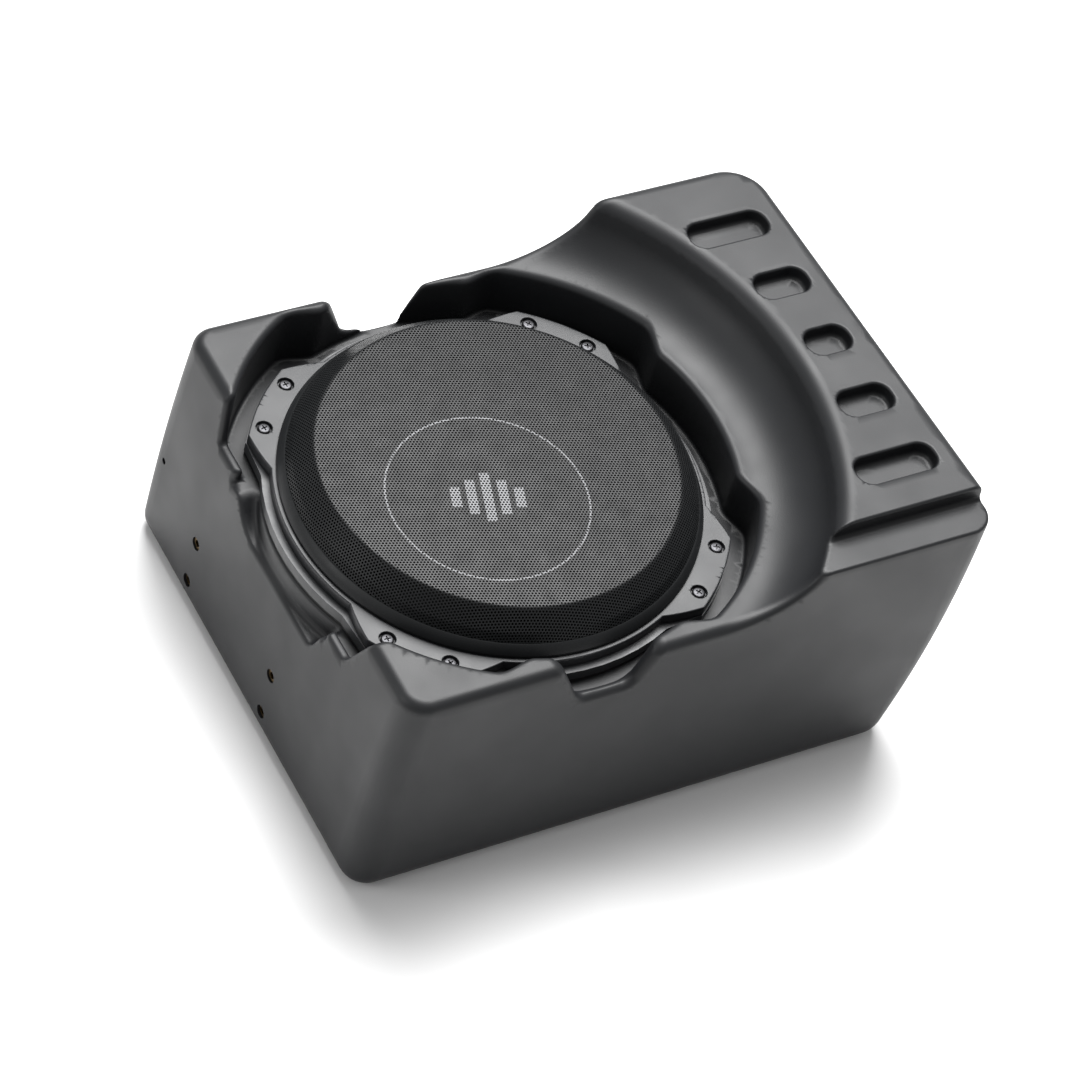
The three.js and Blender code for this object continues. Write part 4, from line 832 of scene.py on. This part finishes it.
# Each row is a slot's finish: name, colour, roughness, metallic, other shader inputs, and the
# patterns on it. A colour of None is taken from the settings. In a tint, a number scales the
# finish's own colour.
FINISHES = {
    # the fine spark-eroded grain of the mould, and the faint cloudiness of handled plastic
    "moulded_shell": ("ABS, moulded grain", None, 0.45, 0, {"Specular IOR Level": 0.36}, (
        ("spread", "noise", (38, 2), 0.42, 0.52), ("tint", "noise", (55, 2), 0.92, 1.08),
        ("relief", "cells", (0.55,), 0.05, 0.55), ("relief", "noise", (0.9,), 0.04, 0.4))),
    # closed cells that catch a little light on their rims
    "gasket_foam": ("EPDM foam", "#161617", 0.9, 0, {}, (
        ("relief", "cells", (0.5,), 0.15, 0.8),)),
    # powder coat, its orange peel drawn by the highlights along the flange
    "basket_steel": ("Steel, powder coated", "#2b2c2e", 0.42, 0, {}, (
        ("spread", "noise", (6,), 0.36, 0.48), ("relief", "noise", (0.8,), 0.05, 0.5))),
    # a finer grain than the enclosure, so that the ring reads as a separate moulding
    "trim_plastic": ("ABS, satin trim", None, 0.38, 0, {"Specular IOR Level": 0.35}, (
        ("spread", "noise", (24, 2), 0.34, 0.43), ("relief", "noise", (0.45,), 0.03, 0.45))),
    # powder coat that shines a little on the ribs between the holes
    "grille_steel": ("Perforated steel, powder coated", None, 0.4, 0,
                     {"Specular IOR Level": 0.22}, (
        ("spread", "noise", (9,), 0.34, 0.46), ("relief", "noise", (0.3,), 0.02, 0.4))),
    # an open black weave that swallows the light behind the holes
    "scrim_cloth": ("Acoustic cloth", "#0b0b0b", 0.95, 0, {}, (
        ("relief", "bands", (0.5, "X"), 0.1, 0.7), ("relief", "bands", (0.5, "Y"), 0.1, 0.7))),
    # black zinc, worn towards the bare metal in small patches
    "black_screw": ("Steel, black zinc", None, 0.36, 0.9, {}, (
        ("spread", "noise", (0.8,), 0.26, 0.46), ("relief", "noise", (0.35,), 0.02, 0.35))),
    # matt rubber with the bloom that settles on it
    "surround_rubber": ("Butyl rubber", "#1b1b1c", 0.62, 0, {}, (
        ("spread", "noise", (12,), 0.52, 0.72), ("relief", "noise", (0.7,), 0.04, 0.4))),
    # a pressed satin skin with the flow marks of the mica in it
    "cone_polypropylene": ("Polypropylene, mica filled", "#222325", 0.35, 0, {}, (
        ("tint", "noise", (2.5,), "#1d1e20", "#2a2b2d"),
        ("relief", "noise", (1.2,), 0.03, 0.4))),
    # resin-dipped cotton whose threads show across the corrugations
    "spider_cloth": ("Cotton, resin treated", "#b08a52", 0.8, 0, {}, (
        ("tint", "noise", (4,), "#a47d46", "#bd975e"),
        ("relief", "bands", (0.6, "X"), 0.1, 0.6), ("relief", "bands", (0.6, "Y"), 0.1, 0.6))),
    # rolled foil, with the lines of the rollers round it
    "former_foil": ("Aluminium foil", "#c9cacc", 0.3, 1, {}, (
        ("spread", "noise", (0.6, 2, (1, 1, 0.08)), 0.2, 0.42),)),
    # turns of enamelled wire side by side
    "copper_winding": ("Copper, enamelled", "#b5632f", 0.3, 1, {}, (
        ("tint", "noise", (5,), "#a85a2a", "#c3713a"),
        ("relief", "bands", (0.7, "Z"), 0.2, 0.9))),
    # turned faces under zinc
    "motor_steel": ("Steel, zinc plated", "#7c7f82", 0.38, 1, {}, (
        ("spread", "noise", (1.5,), 0.3, 0.48), ("relief", "noise", (0.5,), 0.02, 0.4))),
    # sintered and ground, with small open pores
    "ferrite": ("Ferrite, ground", "#2f3032", 0.6, 0, {}, (
        ("tint", "noise", (3,), "#2a2b2c", "#353638"), ("relief", "cells", (0.9,), 0.06, 0.5))),
    # paper laminate, its fibres running one way
    "terminal_board": ("Phenolic laminate", "#6b4a2b", 0.5, 0, {}, (
        ("tint", "noise", (1.2, 3, (0.1, 1, 1)), "#60411f", "#775436"),)),
    # black anodising over drawn aluminium: long faint lines down the extrusion
    "heat_sink": ("Aluminium, black anodised", "#2a2b2d", 0.34, 0.75, {}, (
        ("spread", "noise", (0.5, 3, (1, 1, 0.02)), 0.27, 0.44),
        ("relief", "noise", (0.4, 2, (1, 1, 0.02)), 0.02, 0.5))),
    # solder mask, lighter where it lies over copper tracks
    "circuit_board": ("Fibreglass, solder mask", "#1f5a3a", 0.3, 0, {}, (
        ("tint", "bricks", (7, 3, 0.4), "#1c5335", "#2f7a50"),)),
    # shrunk film, slightly uneven over the can
    "capacitor_sleeve": ("PVC sleeve", "#222834", 0.25, 0, {}, (
        ("relief", "noise", (3,), 0.05, 0.4), ("spread", "noise", (8,), 0.2, 0.32))),
    # nylon with a matt mould finish
    "connector_black": ("Nylon, black", "#1d1d1e", 0.5, 0, {}, (
        ("spread", "noise", (5,), 0.44, 0.56), ("relief", "noise", (0.4,), 0.02, 0.4))),
    # clear tinted body with the light coming through it
    "fuse_amber": ("Polycarbonate, amber", "#d8912f", 0.15, 0,
                   {"Transmission Weight": 0.5, "IOR": 1.58}, (
        ("spread", "noise", (4,), 0.12, 0.22),)),
    # natural nylon, a little yellow and waxy
    "connector_white": ("Nylon, natural", "#d8d3c4", 0.42, 0, {}, (
        ("tint", "noise", (6,), "#d2ccba", "#dedace"),)),
    # gold flash over a turned shell
    "socket_plated": ("Brass, gold flashed", "#d9b45c", 0.22, 1, {}, (
        ("spread", "noise", (1,), 0.16, 0.32),)),
    # moulded satin black, polished by fingers in places
    "knob_plastic": ("ABS, knob satin", "#1b1b1c", 0.36, 0, {}, (
        ("spread", "noise", (3,), 0.28, 0.44), ("relief", "noise", (0.3,), 0.02, 0.4))),
    # diffusing epoxy with a cool tint
    "led_lens": ("Epoxy lens", "#8fb6e6", 0.2, 0, {"Transmission Weight": 0.4, "IOR": 1.5}, (
        ("spread", "noise", (1,), 0.16, 0.28),)),
    # the knurl of a pressed-in insert; its brass colour is darkened as painted shade, standing in
    # for the shade inside its hole
    "insert_brass": ("Brass, knurled", "#5c4a2c", 0.45, 1, {}, (
        ("relief", "bands", (0.6, "DIAGONAL"), 0.1, 0.6),
        ("spread", "noise", (1,), 0.28, 0.42))),
    # extruded insulation, dulled by handling
    "wire_red": ("PVC insulation, red", "#a3201f", 0.45, 0, {}, (
        ("spread", "noise", (3,), 0.38, 0.52),)),
    # the same insulation in black
    "wire_black": ("PVC insulation, black", "#1c1c1d", 0.45, 0, {}, (
        ("spread", "noise", (3,), 0.38, 0.52),)),
    # screen ink, thin enough to take the tone of what is under it
    "printed_white": ("Ink, white", "#c9cac8", 0.55, 0, {}, (
        ("tint", "noise", (0.8,), "#bcbdbb", "#d2d3d1"),)),
    # seamless paper, barely mottled
    "studio_floor": ("Backdrop paper", None, 0.9, 0, {}, (
        ("tint", "noise", (400, 2), 0.99, 1.0), ("relief", "noise", (3,), 0.05, 0.15))),
}
MADE = {}


def print_mark(made, shade):
    """A plain ring and five level bars in pale ink over the crown; the holes go through them."""
    tree = made.tree
    centre = (DRIVER_X * MM + MARK_OFFSET[0], DRIVER_Y * MM + MARK_OFFSET[1], 0)
    place = put(tree, "ShaderNodeMapping", {"vector_type": "TEXTURE"}, {
        "Vector": made.coords, "Location": centre, "Rotation": (0, 0, MARK_TURN),
        "Scale": (MM, MM, MM)})
    x, y, _ = put(tree, "ShaderNodeSeparateXYZ", None, {0: place.outputs[0]}).outputs
    flat = put(tree, "ShaderNodeCombineXYZ", None, {0: x, 1: y})
    run = put(tree, "ShaderNodeVectorMath", {"operation": "LENGTH"}, {0: flat.outputs[0]})
    ring = calc(tree, "COMPARE", run.outputs["Value"], MARK_RADIUS, MARK_LINE)
    column = calc(tree, "ROUND", calc(tree, "DIVIDE", x, BAR_PITCH))
    across = calc(tree, "COMPARE", x, calc(tree, "MULTIPLY", column, BAR_PITCH), BAR_HALF)
    index = calc(tree, "ABSOLUTE", column)
    within = calc(tree, "COMPARE", y, 0.0, calc(tree, "MULTIPLY_ADD", index, -BAR_STEP, BAR_TALL))
    bars = calc(tree, "MULTIPLY", across, within)
    bars = calc(tree, "MULTIPLY", bars, calc(tree, "LESS_THAN", index, BARS_TO_A_SIDE + 0.5))
    made.tint(calc(tree, "MAXIMUM", ring, bars), shade, linear(MARK_INK), 0.0, 1.0)


def finish_of(kind, shade=None):
    """The one material of a kind, made the first time it is asked for."""
    if kind in MADE:
        return MADE[kind]
    name, code, roughness, metallic, inputs, steps = FINISHES[kind]
    own = linear(code) if code else tuple(shade)
    made = Finish(name, own, roughness, metallic, **inputs)
    for action, pattern, arguments, low, high in steps:
        ends = (low, high)
        if action == "tint":
            ends = [linear(v) if isinstance(v, str) else tuple(c * v for c in own) for v in ends]
        getattr(made, action)(getattr(made, pattern)(*arguments), *ends)
    if kind == "grille_steel":
        print_mark(made, own)
    MADE[kind] = made.material
    return MADE[kind]


def dressed(piece, kind, shade=None, body=BODY, nodes=()):
    """Gives a finished piece its material and its body, and hides the frame's nodes that it stands
    for.
    """
    if not piece.data.polygons:
        raise RuntimeError(f"{piece.name} came out empty")
    piece.data.materials.clear()
    piece.data.materials.append(finish_of(kind, shade))
    if body:
        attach(piece, body)
    if nodes:
        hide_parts(*nodes)
    return piece


# ---- the pieces ----
def build_enclosure(s):
    def distance(x, y, z):
        return enclosure_distance(x, y, z, s)

    pitch = s.pitch / MM * 1
    shell = meshed("Enclosure", distance, SHELL_LOW, SHELL_HIGH, pitch, 0.02)
    shell = decimated(shell, 190000 / triangle_count(shell))
    cut = turned("Cut-out", [(0, 100), (CUTOUT_RADIUS, 100), (CUTOUT_RADIUS, 130), (0, 130)],
                 (DRIVER_X, DRIVER_Y, 0), segments=160)
    carved(shell, cut)
    gap = 0.3
    back = SHELL_HIGH[1] + 1
    bm = bmesh.new()
    add_box(bm, (PANEL_LOW[0] - gap, PANEL_SEAT_Y, PANEL_LOW[2] - gap),
            (PANEL_HIGH[0] + gap, back, PANEL_HIGH[2] + gap))
    carved(shell, from_bmesh("Recess", bm))
    bm = bmesh.new()
    add_box(bm, (PANEL_LOW[0] + PANEL_LAND, PANEL_SEAT_Y - 20, PANEL_LOW[2] + PANEL_LAND),
            (PANEL_HIGH[0] - PANEL_LAND, back, PANEL_HIGH[2] - PANEL_LAND))
    carved(shell, from_bmesh("Window", bm))
    low = SHELL_LOW[0] - 1
    for i in range(1, 5):
        a, b = node_box(f"bracket_insert_{i}")
        y, z = (a[1] + b[1]) / 2, (a[2] + b[2]) / 2
        hole = turned("Insert hole", [(0, low), (4.1, low), (4.1, b[0] + gap), (0, b[0] + gap)],
                      (0, y, z), "x", 32)
        carved(shell, hole)
    hole = turned("Locating hole", [(0, low), (2, low), (2, low + 5.5), (0, low + 5.5)],
                  (0, SHELL_HIGH[1] - 17, 65.5), "x", 32)
    carved(shell, hole)
    for node in (f"amp_screw_{i}" for i in range(1, 7)):
        a, b = node_box(node)
        x, z = (a[0] + b[0]) / 2, (a[2] + b[2]) / 2
        pilot = turned("Pilot", [(0, a[1] - 0.5), (1.8, a[1] - 0.5), (1.8, b[1]), (0, b[1])],
                       (x, 0, z), "y", 24)
        carved(shell, pilot)
    for x, y in screw_places():
        pilot = turned("Pilot", [(0, 105.5), (2.3, 105.5), (2.3, 130), (0, 130)], (x, y, 0),
                       "z", 24)
        carved(shell, pilot)
    field_shaded(shell, distance, 65)
    dressed(shell, "moulded_shell", s.shade, nodes=["enclosure_shell"])


def dome_profile():
    """Radius and height of the grille's outside, from its crown to its foot."""
    top = GRILLE_HIGH[2] - 0.1
    flat = GRILLE_RADIUS - 15.4
    return [(0.0, top), (flat / 2, top - 0.4), (flat - 1.5, top - 1.6),
            (GRILLE_RADIUS - 6.9, top - 11.8), (GRILLE_RADIUS - 0.2, top - 23)]


def build_grille(s):
    profile = dome_profile()
    solid_band = 4.2
    reach = sum(math.dist(a, b) for a, b in zip(profile, profile[1:])) - solid_band
    tree = perforation_tree()
    finish = finish_of("grille_steel", s.shade)
    sectors = 4
    pitch = s.pitch * 1
    for i in range(sectors):
        mesh = bpy.data.meshes.new("Meridian")
        mesh.from_pydata([(r * MM, 0, z * MM) for r, z in profile],
                         [(k, k + 1) for k in range(len(profile) - 1)], [])
        piece = placed(f"Grille, perforated sector {i + 1}", mesh)
        modifier = piece.modifiers.new("Perforations", "NODES")
        modifier.node_group = tree
        set_inputs(modifier, {
            "Pitch": pitch, "Hole": s.hole * pitch / s.pitch, "Sheet": s.sheet,
            "Crease": s.crease, "Reach": reach * MM, "Turn": s.turn, "Sector": i,
            "Sectors": sectors, "Finish": finish})
        baked(piece)
        piece.data.transform(Matrix.Translation((DRIVER_X * MM, DRIVER_Y * MM, 0)))
        shaded(piece, 40)
        dressed(piece, "grille_steel", s.shade, nodes=["grille_dome"])
    foot = GRILLE_LOW[2]
    r = GRILLE_RADIUS
    band = [(r - 3.6, foot + 7.8), (r - 3.1, foot + 7.5),
            *arc((r - 0.55, foot + 1.5), 0.5, 25, 0, 3),
            *arc((r - 0.55, foot + 0.5), 0.5, 0, -90, 4), (r - 2.9, foot), (r - 3, foot + 0.1),
            (r - 3, foot + 0.9), (r - 1.2, foot + 1.2), (r - 4.3, foot + 7.2)]
    hem = turned("Grille, rolled hem", band, (DRIVER_X, DRIVER_Y, 0), segments=240)
    shaded(hem, 35)
    dressed(hem, "grille_steel", s.shade)


def build_trim(s):
    def ring(x, y, z):
        return trim_distance(x, y, z, s)

    pitch = 0.65
    trim = meshed("Trim ring", ring, TRIM_LOW, TRIM_HIGH, pitch, 0.02)
    trim = decimated(trim, min(1, 190000 / triangle_count(trim)))
    field_shaded(trim, ring, 40)
    dressed(trim, "trim_plastic", s.shade, nodes=["grille_trim_ring"])


def screw_mesh(name, radius, height, shank, below, recess):
    """A cross-recessed pan head on its shank, its seat at the origin."""
    profile = [(0, -below), (shank * 0.5, -below), (shank, -below + shank), (shank, 0),
               (radius, 0), (radius, height * 0.35),
               *arc((radius - height * 0.6, height * 0.35), height * 0.6, 12, 78, 5),
               (radius * 0.3, height), (0, height)]
    head = turned(name, profile, (0, 0, 0), segments=36)
    for size in ((recess, recess * 0.22), (recess * 0.22, recess)):
        bm = bmesh.new()
        add_box(bm, (-size[0], -size[1], height * 0.3), (size[0], size[1], height + 1))
        carved(head, from_bmesh("Cross", bm))
    return head


def build_screws(s):
    tree = fastener_tree()
    grille_heads = [(x, y, TRIM_HIGH[2] - 2.2) for x, y in screw_places()]
    grille_nodes = [f"grille_screw_{i}" for i in range(1, 9)]
    panel_nodes = [f"amp_screw_{i}" for i in range(1, 7)]
    panel_heads = []
    for node in panel_nodes:
        low, high = node_box(node)
        panel_heads.append(((low[0] + high[0]) / 2, high[1] - 2.1, (low[2] + high[2]) / 2))
    groups = (
        ("Grille screws", grille_heads, grille_nodes, 0.0, s.head / MM, 1.9, 1.9, 25),
        ("Panel screws", panel_heads, panel_nodes, -math.pi / 2, 3.1, 2.05, 1.4, 9),
    )
    for name, heads, nodes, tilt, radius, height, shank, below in groups:
        reach = s.recess / MM * radius / (s.head / MM)
        screw = screw_mesh(f"{name}, one", radius, height, shank, below, reach)
        mesh = bpy.data.meshes.new(name)
        mesh.from_pydata([tuple(v * MM for v in point) for point in heads], [], [])
        piece = placed(name, mesh)
        modifier = piece.modifiers.new("Screws", "NODES")
        modifier.node_group = tree
        set_inputs(modifier, {"Screw": screw, "Tilt": tilt, "Seed": 7,
                              "Finish": finish_of("black_screw", s.shade)})
        baked(piece)
        spare = screw.data
        bpy.data.objects.remove(screw)
        bpy.data.meshes.remove(spare)
        shaded(piece, 35)
        dressed(piece, "black_screw", s.shade, nodes=nodes)


def build_cone():
    low, high = node_box("cone")
    edge = (high[0] - low[0]) / 2
    neck = 29.4
    top = high[2]
    base = low[2]
    profile = [(neck, base + 1.2), (neck + 1, base)]
    for i in range(1, 13):
        share = i / 12
        profile.append((neck + 1 + (edge - neck - 3) * share,
                        base + (top - base - 0.8) * share ** 0.86))
    upper = [(r - 0.3, z + 0.8) for r, z in profile[:1:-1]]
    cone = turned("Cone body", [*profile, (edge - 0.2, top - 0.8), (edge - 0.2, top), *upper,
                           (neck, base + 2.2)], (DRIVER_X, DRIVER_Y, 0), segments=128)
    shaded(cone, 35)
    dressed(cone, "cone_polypropylene", body="cone_assembly", nodes=["cone"])
    low, high = node_box("dust_cap")
    r = (high[0] - low[0]) / 2
    angles = [math.radians(a) for a in range(0, 91, 6)]
    crown = [(r * math.sin(a), low[2] + (high[2] - low[2]) * math.cos(a)) for a in angles]
    under = [(max(x - 1, 0), z - 1.1) for x, z in crown[::-1]]
    under = [(x, max(z, low[2])) for x, z in under if z > low[2] + 0.2] + [(0, high[2] - 1.1)]
    profile = list(dict.fromkeys([(0, high[2]), *crown[1:], (r - 1, low[2]), *under]))
    cap = turned("Dust cap dome", profile, (DRIVER_X, DRIVER_Y, 0), segments=96)
    shaded(cap, 35)
    dressed(cap, "cone_polypropylene", body="cone_assembly", nodes=["dust_cap"])


def build_suspension():
    """Surround and spider in wedges, each reaching from the cone to the frame."""
    sections = 12
    low, high = node_box("surround")
    outer = (high[0] - low[0]) / 2
    inner = 83.5
    roll = 10
    z = low[2]
    mid = 98
    top = [(outer, z), (outer, z + 0.9), (mid + roll + 0.4, z + 0.9),
           *arc((mid, z + 0.7), roll - 0.4, 4, 176, 16), (mid - roll - 0.4, z + 0.9),
           (inner, z + 0.9), (inner, z), (mid - roll + 0.6, z),
           *arc((mid, z + 0.1), roll - 1.1, 174, 6, 16), (mid + roll - 0.6, z)]
    surround = (("Surround", top, "surround_rubber", "surround", 89, 107, z),)
    low, high = node_box("spider")
    reach = (high[0] - low[0]) / 2
    base = low[2]
    waves = []
    for i in range(61):
        share = i / 60
        radius = 30.2 + (71 - 30.2) * share
        waves.append((radius, base + 3 + 1.9 * math.sin(share * math.tau * 4)))
    spider = [*waves, (72.5, base + 0.9), (reach, base + 0.9), (reach, base + 0.1),
              (72.2, base + 0.1), *[(r, h - 0.8) for r, h in waves[::-1]]]
    spider = (("Spider", spider, "spider_cloth", "spider", 33, 70, base + 3),)
    for name, profile, kind, node, start, end, height in surround + spider:
        for i in range(sections):
            step = 360 / sections
            wedge = turned(f"{name} {i + 1}", profile, (DRIVER_X, DRIVER_Y, 0),
                           segments=10, sweep=step, start=i * step)
            shaded(wedge, 40)
            dressed(wedge, kind, body=None, nodes=[node])
            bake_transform(wedge)


def build_knobs():
    """Three fluted knobs, each with a raised pointer."""
    for control in ("gain", "crossover", "bass_boost"):
        low, high = node_box(f"{control}_knob")
        x, z = (low[0] + high[0]) / 2, (low[2] + high[2]) / 2
        face = high[1] - 0.4
        base = high[1] - 5
        radius = (high[2] - low[2]) / 2
        bm = bmesh.new()
        profile = [(0, low[1]), (2.4, low[1]), (2.4, base), (radius - 0.7, base),
                   (radius - 0.7, base + 0.4), *arc((radius - 1.3, face - 0.6), 0.6, 10, 80, 4),
                   (0, face)]
        add_turned(bm, profile, (x, 0, z), "y", 64)
        bmesh.ops.recalc_face_normals(bm, faces=bm.faces)
        knob = from_bmesh(f"{control} dial", bm)
        shaded(knob, 35)
        dressed(knob, "knob_plastic", body=f"{control}_control", nodes=[f"{control}_knob"])
        bm = bmesh.new()
        for i in range(20):
            angle = math.tau * i / 20
            rib = ((-0.35, 0, radius - 1.1), (0.35, face - base - 1, radius - 0.15))
            add_box(bm, *rib)
            turn = Matrix.Rotation(angle, 4, "Y")
            fresh = bm.verts[:] if i == 0 else bm.verts[8 * i:]
            bmesh.ops.transform(bm, matrix=turn, verts=fresh)
        bmesh.ops.translate(bm, vec=Vector((x, base + 0.3, z)) * MM, verts=bm.verts[:])
        ribs = from_bmesh(f"{knob.name} flutes", bm)
        dressed(ribs, "knob_plastic", body=f"{control}_control")
        bm = bmesh.new()
        add_box(bm, (x - 0.3, face - 0.2, z + 1), (x + 0.3, high[1] - 0.02, z + radius - 1.2))
        pointer = from_bmesh(f"{knob.name} pointer", bm)
        dressed(pointer, "printed_white", body=f"{control}_control")


def carry_over():
    """Gives every CAD node that still shows its finish, and a small edge that catches light."""
    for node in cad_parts.values():
        if node.hide_render:
            continue
        for place in node.material_slots:
            place.material = finish_of(place.material.name.split(".")[0])
        modifier = node.modifiers.new("Edges", "BEVEL")
        modifier.width = 0.25 * MM
        modifier.segments = 2
        modifier.limit_method = "ANGLE"
        modifier.angle_limit = math.radians(40)


def build_studio(s):
    bm = bmesh.new()
    bmesh.ops.create_grid(bm, x_segments=1, y_segments=1, size=12)
    ground = from_bmesh("Floor", bm)
    ground.data.materials.append(finish_of("studio_floor", s.floor_shade))
    world = bpy.data.worlds.new("Studio")
    world.use_nodes = True
    world.node_tree.nodes["Background"].inputs[0].default_value = (1, 1, 1, 1)
    world.node_tree.nodes["Background"].inputs[1].default_value = 0.42
    scene = bpy.context.scene
    scene.world = world
    scene.view_settings.view_transform = "Standard"
    for name, place, size, power in (
        ("Overhead softbox", (0.45, 0.75, 1.9), 1.4, 105),
        ("Left strip", (-1.9, 0.3, 1.0), 0.8, 7),
    ):
        data = bpy.data.lights.new(name, "AREA")
        data.shape = "SQUARE"
        data.size = size
        data.energy = power
        lamp = bpy.data.objects.new(name, data)
        lamp.location = place
        lamp.rotation_mode = "QUATERNION"
        lamp.rotation_quaternion = (Vector((0, 0, 0.1)) - lamp.location).to_track_quat("-Z", "Y")
        scene.collection.objects.link(lamp)
    back = Vector((math.sin(s.azimuth) * math.cos(s.elevation),
                   -math.cos(s.azimuth) * math.cos(s.elevation), math.sin(s.elevation)))
    level = Vector((0, 0, 1)).cross(back).normalized()
    rise = back.cross(level)
    right = level * math.cos(s.roll) + rise * math.sin(s.roll)
    data = bpy.data.cameras.new("Camera")
    data.lens = s.lens
    data.clip_end = 50
    camera = bpy.data.objects.new("Camera", data)
    camera.matrix_world = Matrix.Translation(Vector(s.aim) + back * s.distance) @ Matrix(
        (right, back.cross(right), back)).transposed().to_4x4()
    scene.collection.objects.link(camera)
    scene.camera = camera


# ---- the add-on ----
class SUBWOOFER_OT_enclosure(bpy.types.Operator):
    """Mould the enclosure and cut its openings"""
    bl_idname = "subwoofer.enclosure"
    bl_label = "Enclosure"

    def execute(self, context):
        build_enclosure(context.scene.subwoofer_enclosure)
        return {"FINISHED"}


class SUBWOOFER_OT_grille(bpy.types.Operator):
    """Perforate and form the grille, with its hem and emblem"""
    bl_idname = "subwoofer.grille"
    bl_label = "Grille"

    def execute(self, context):
        build_grille(context.scene.subwoofer_grille)
        return {"FINISHED"}


class SUBWOOFER_OT_trim(bpy.types.Operator):
    """Mould the eared trim ring"""
    bl_idname = "subwoofer.trim"
    bl_label = "Trim ring"

    def execute(self, context):
        build_trim(context.scene.subwoofer_trim)
        return {"FINISHED"}


class SUBWOOFER_OT_screws(bpy.types.Operator):
    """Set the grille's and the amplifier panel's screws"""
    bl_idname = "subwoofer.screws"
    bl_label = "Screws"

    def execute(self, context):
        build_screws(context.scene.subwoofer_fasteners)
        return {"FINISHED"}


class SUBWOOFER_OT_cone(bpy.types.Operator):
    """Make the cone, its dust cap, surround and spider"""
    bl_idname = "subwoofer.cone"
    bl_label = "Cone and suspension"

    def execute(self, context):
        build_cone()
        build_suspension()
        return {"FINISHED"}


class SUBWOOFER_OT_knobs(bpy.types.Operator):
    """Make the three turning controls"""
    bl_idname = "subwoofer.knobs"
    bl_label = "Knobs"

    def execute(self, context):
        build_knobs()
        return {"FINISHED"}


class SUBWOOFER_OT_carry_over(bpy.types.Operator):
    """Finish every part that is shown as it comes from the frame"""
    bl_idname = "subwoofer.carry_over"
    bl_label = "Carried-over parts"

    def execute(self, context):
        carry_over()
        return {"FINISHED"}


class SUBWOOFER_OT_studio(bpy.types.Operator):
    """Set the floor, lights and camera"""
    bl_idname = "subwoofer.studio"
    bl_label = "Studio"

    def execute(self, context):
        build_studio(context.scene.subwoofer_studio)
        return {"FINISHED"}


OPERATORS = (
    SUBWOOFER_OT_enclosure, SUBWOOFER_OT_grille, SUBWOOFER_OT_trim, SUBWOOFER_OT_screws,
    SUBWOOFER_OT_cone, SUBWOOFER_OT_knobs, SUBWOOFER_OT_carry_over, SUBWOOFER_OT_studio,
)
SETTINGS = {
    "subwoofer_enclosure": EnclosureSettings,
    "subwoofer_grille": GrilleSettings,
    "subwoofer_trim": TrimSettings,
    "subwoofer_fasteners": FastenerSettings,
    "subwoofer_studio": StudioSettings,
}


class SUBWOOFER_PT_panel(bpy.types.Panel):
    """Every step, in the order it is built in"""
    bl_idname = "SUBWOOFER_PT_panel"
    bl_label = "Powered car subwoofer"
    bl_space_type = "VIEW_3D"
    bl_region_type = "UI"
    bl_category = "Subwoofer"

    def draw(self, context):
        for operator in OPERATORS:
            self.layout.operator(operator.bl_idname)
        for name, group in SETTINGS.items():
            column = self.layout.column()
            for setting in group.__annotations__:
                column.prop(getattr(context.scene, name), setting)


def register():
    for group in SETTINGS.values():
        bpy.utils.register_class(group)
    for operator in OPERATORS:
        bpy.utils.register_class(operator)
    bpy.utils.register_class(SUBWOOFER_PT_panel)
    for name, group in SETTINGS.items():
        setattr(bpy.types.Scene, name, bpy.props.PointerProperty(type=group))


def unregister():
    for name in SETTINGS:
        delattr(bpy.types.Scene, name)
    bpy.utils.unregister_class(SUBWOOFER_PT_panel)
    for operator in reversed(OPERATORS):
        bpy.utils.unregister_class(operator)
    for group in reversed(SETTINGS.values()):
        bpy.utils.unregister_class(group)


def main():
    register()
    bpy.ops.subwoofer.enclosure()
    bpy.ops.subwoofer.grille()
    bpy.ops.subwoofer.trim()
    bpy.ops.subwoofer.screws()
    bpy.ops.subwoofer.cone()
    bpy.ops.subwoofer.knobs()
    bpy.ops.subwoofer.carry_over()
    bpy.ops.subwoofer.studio()


if __name__ == "__main__":
    main()
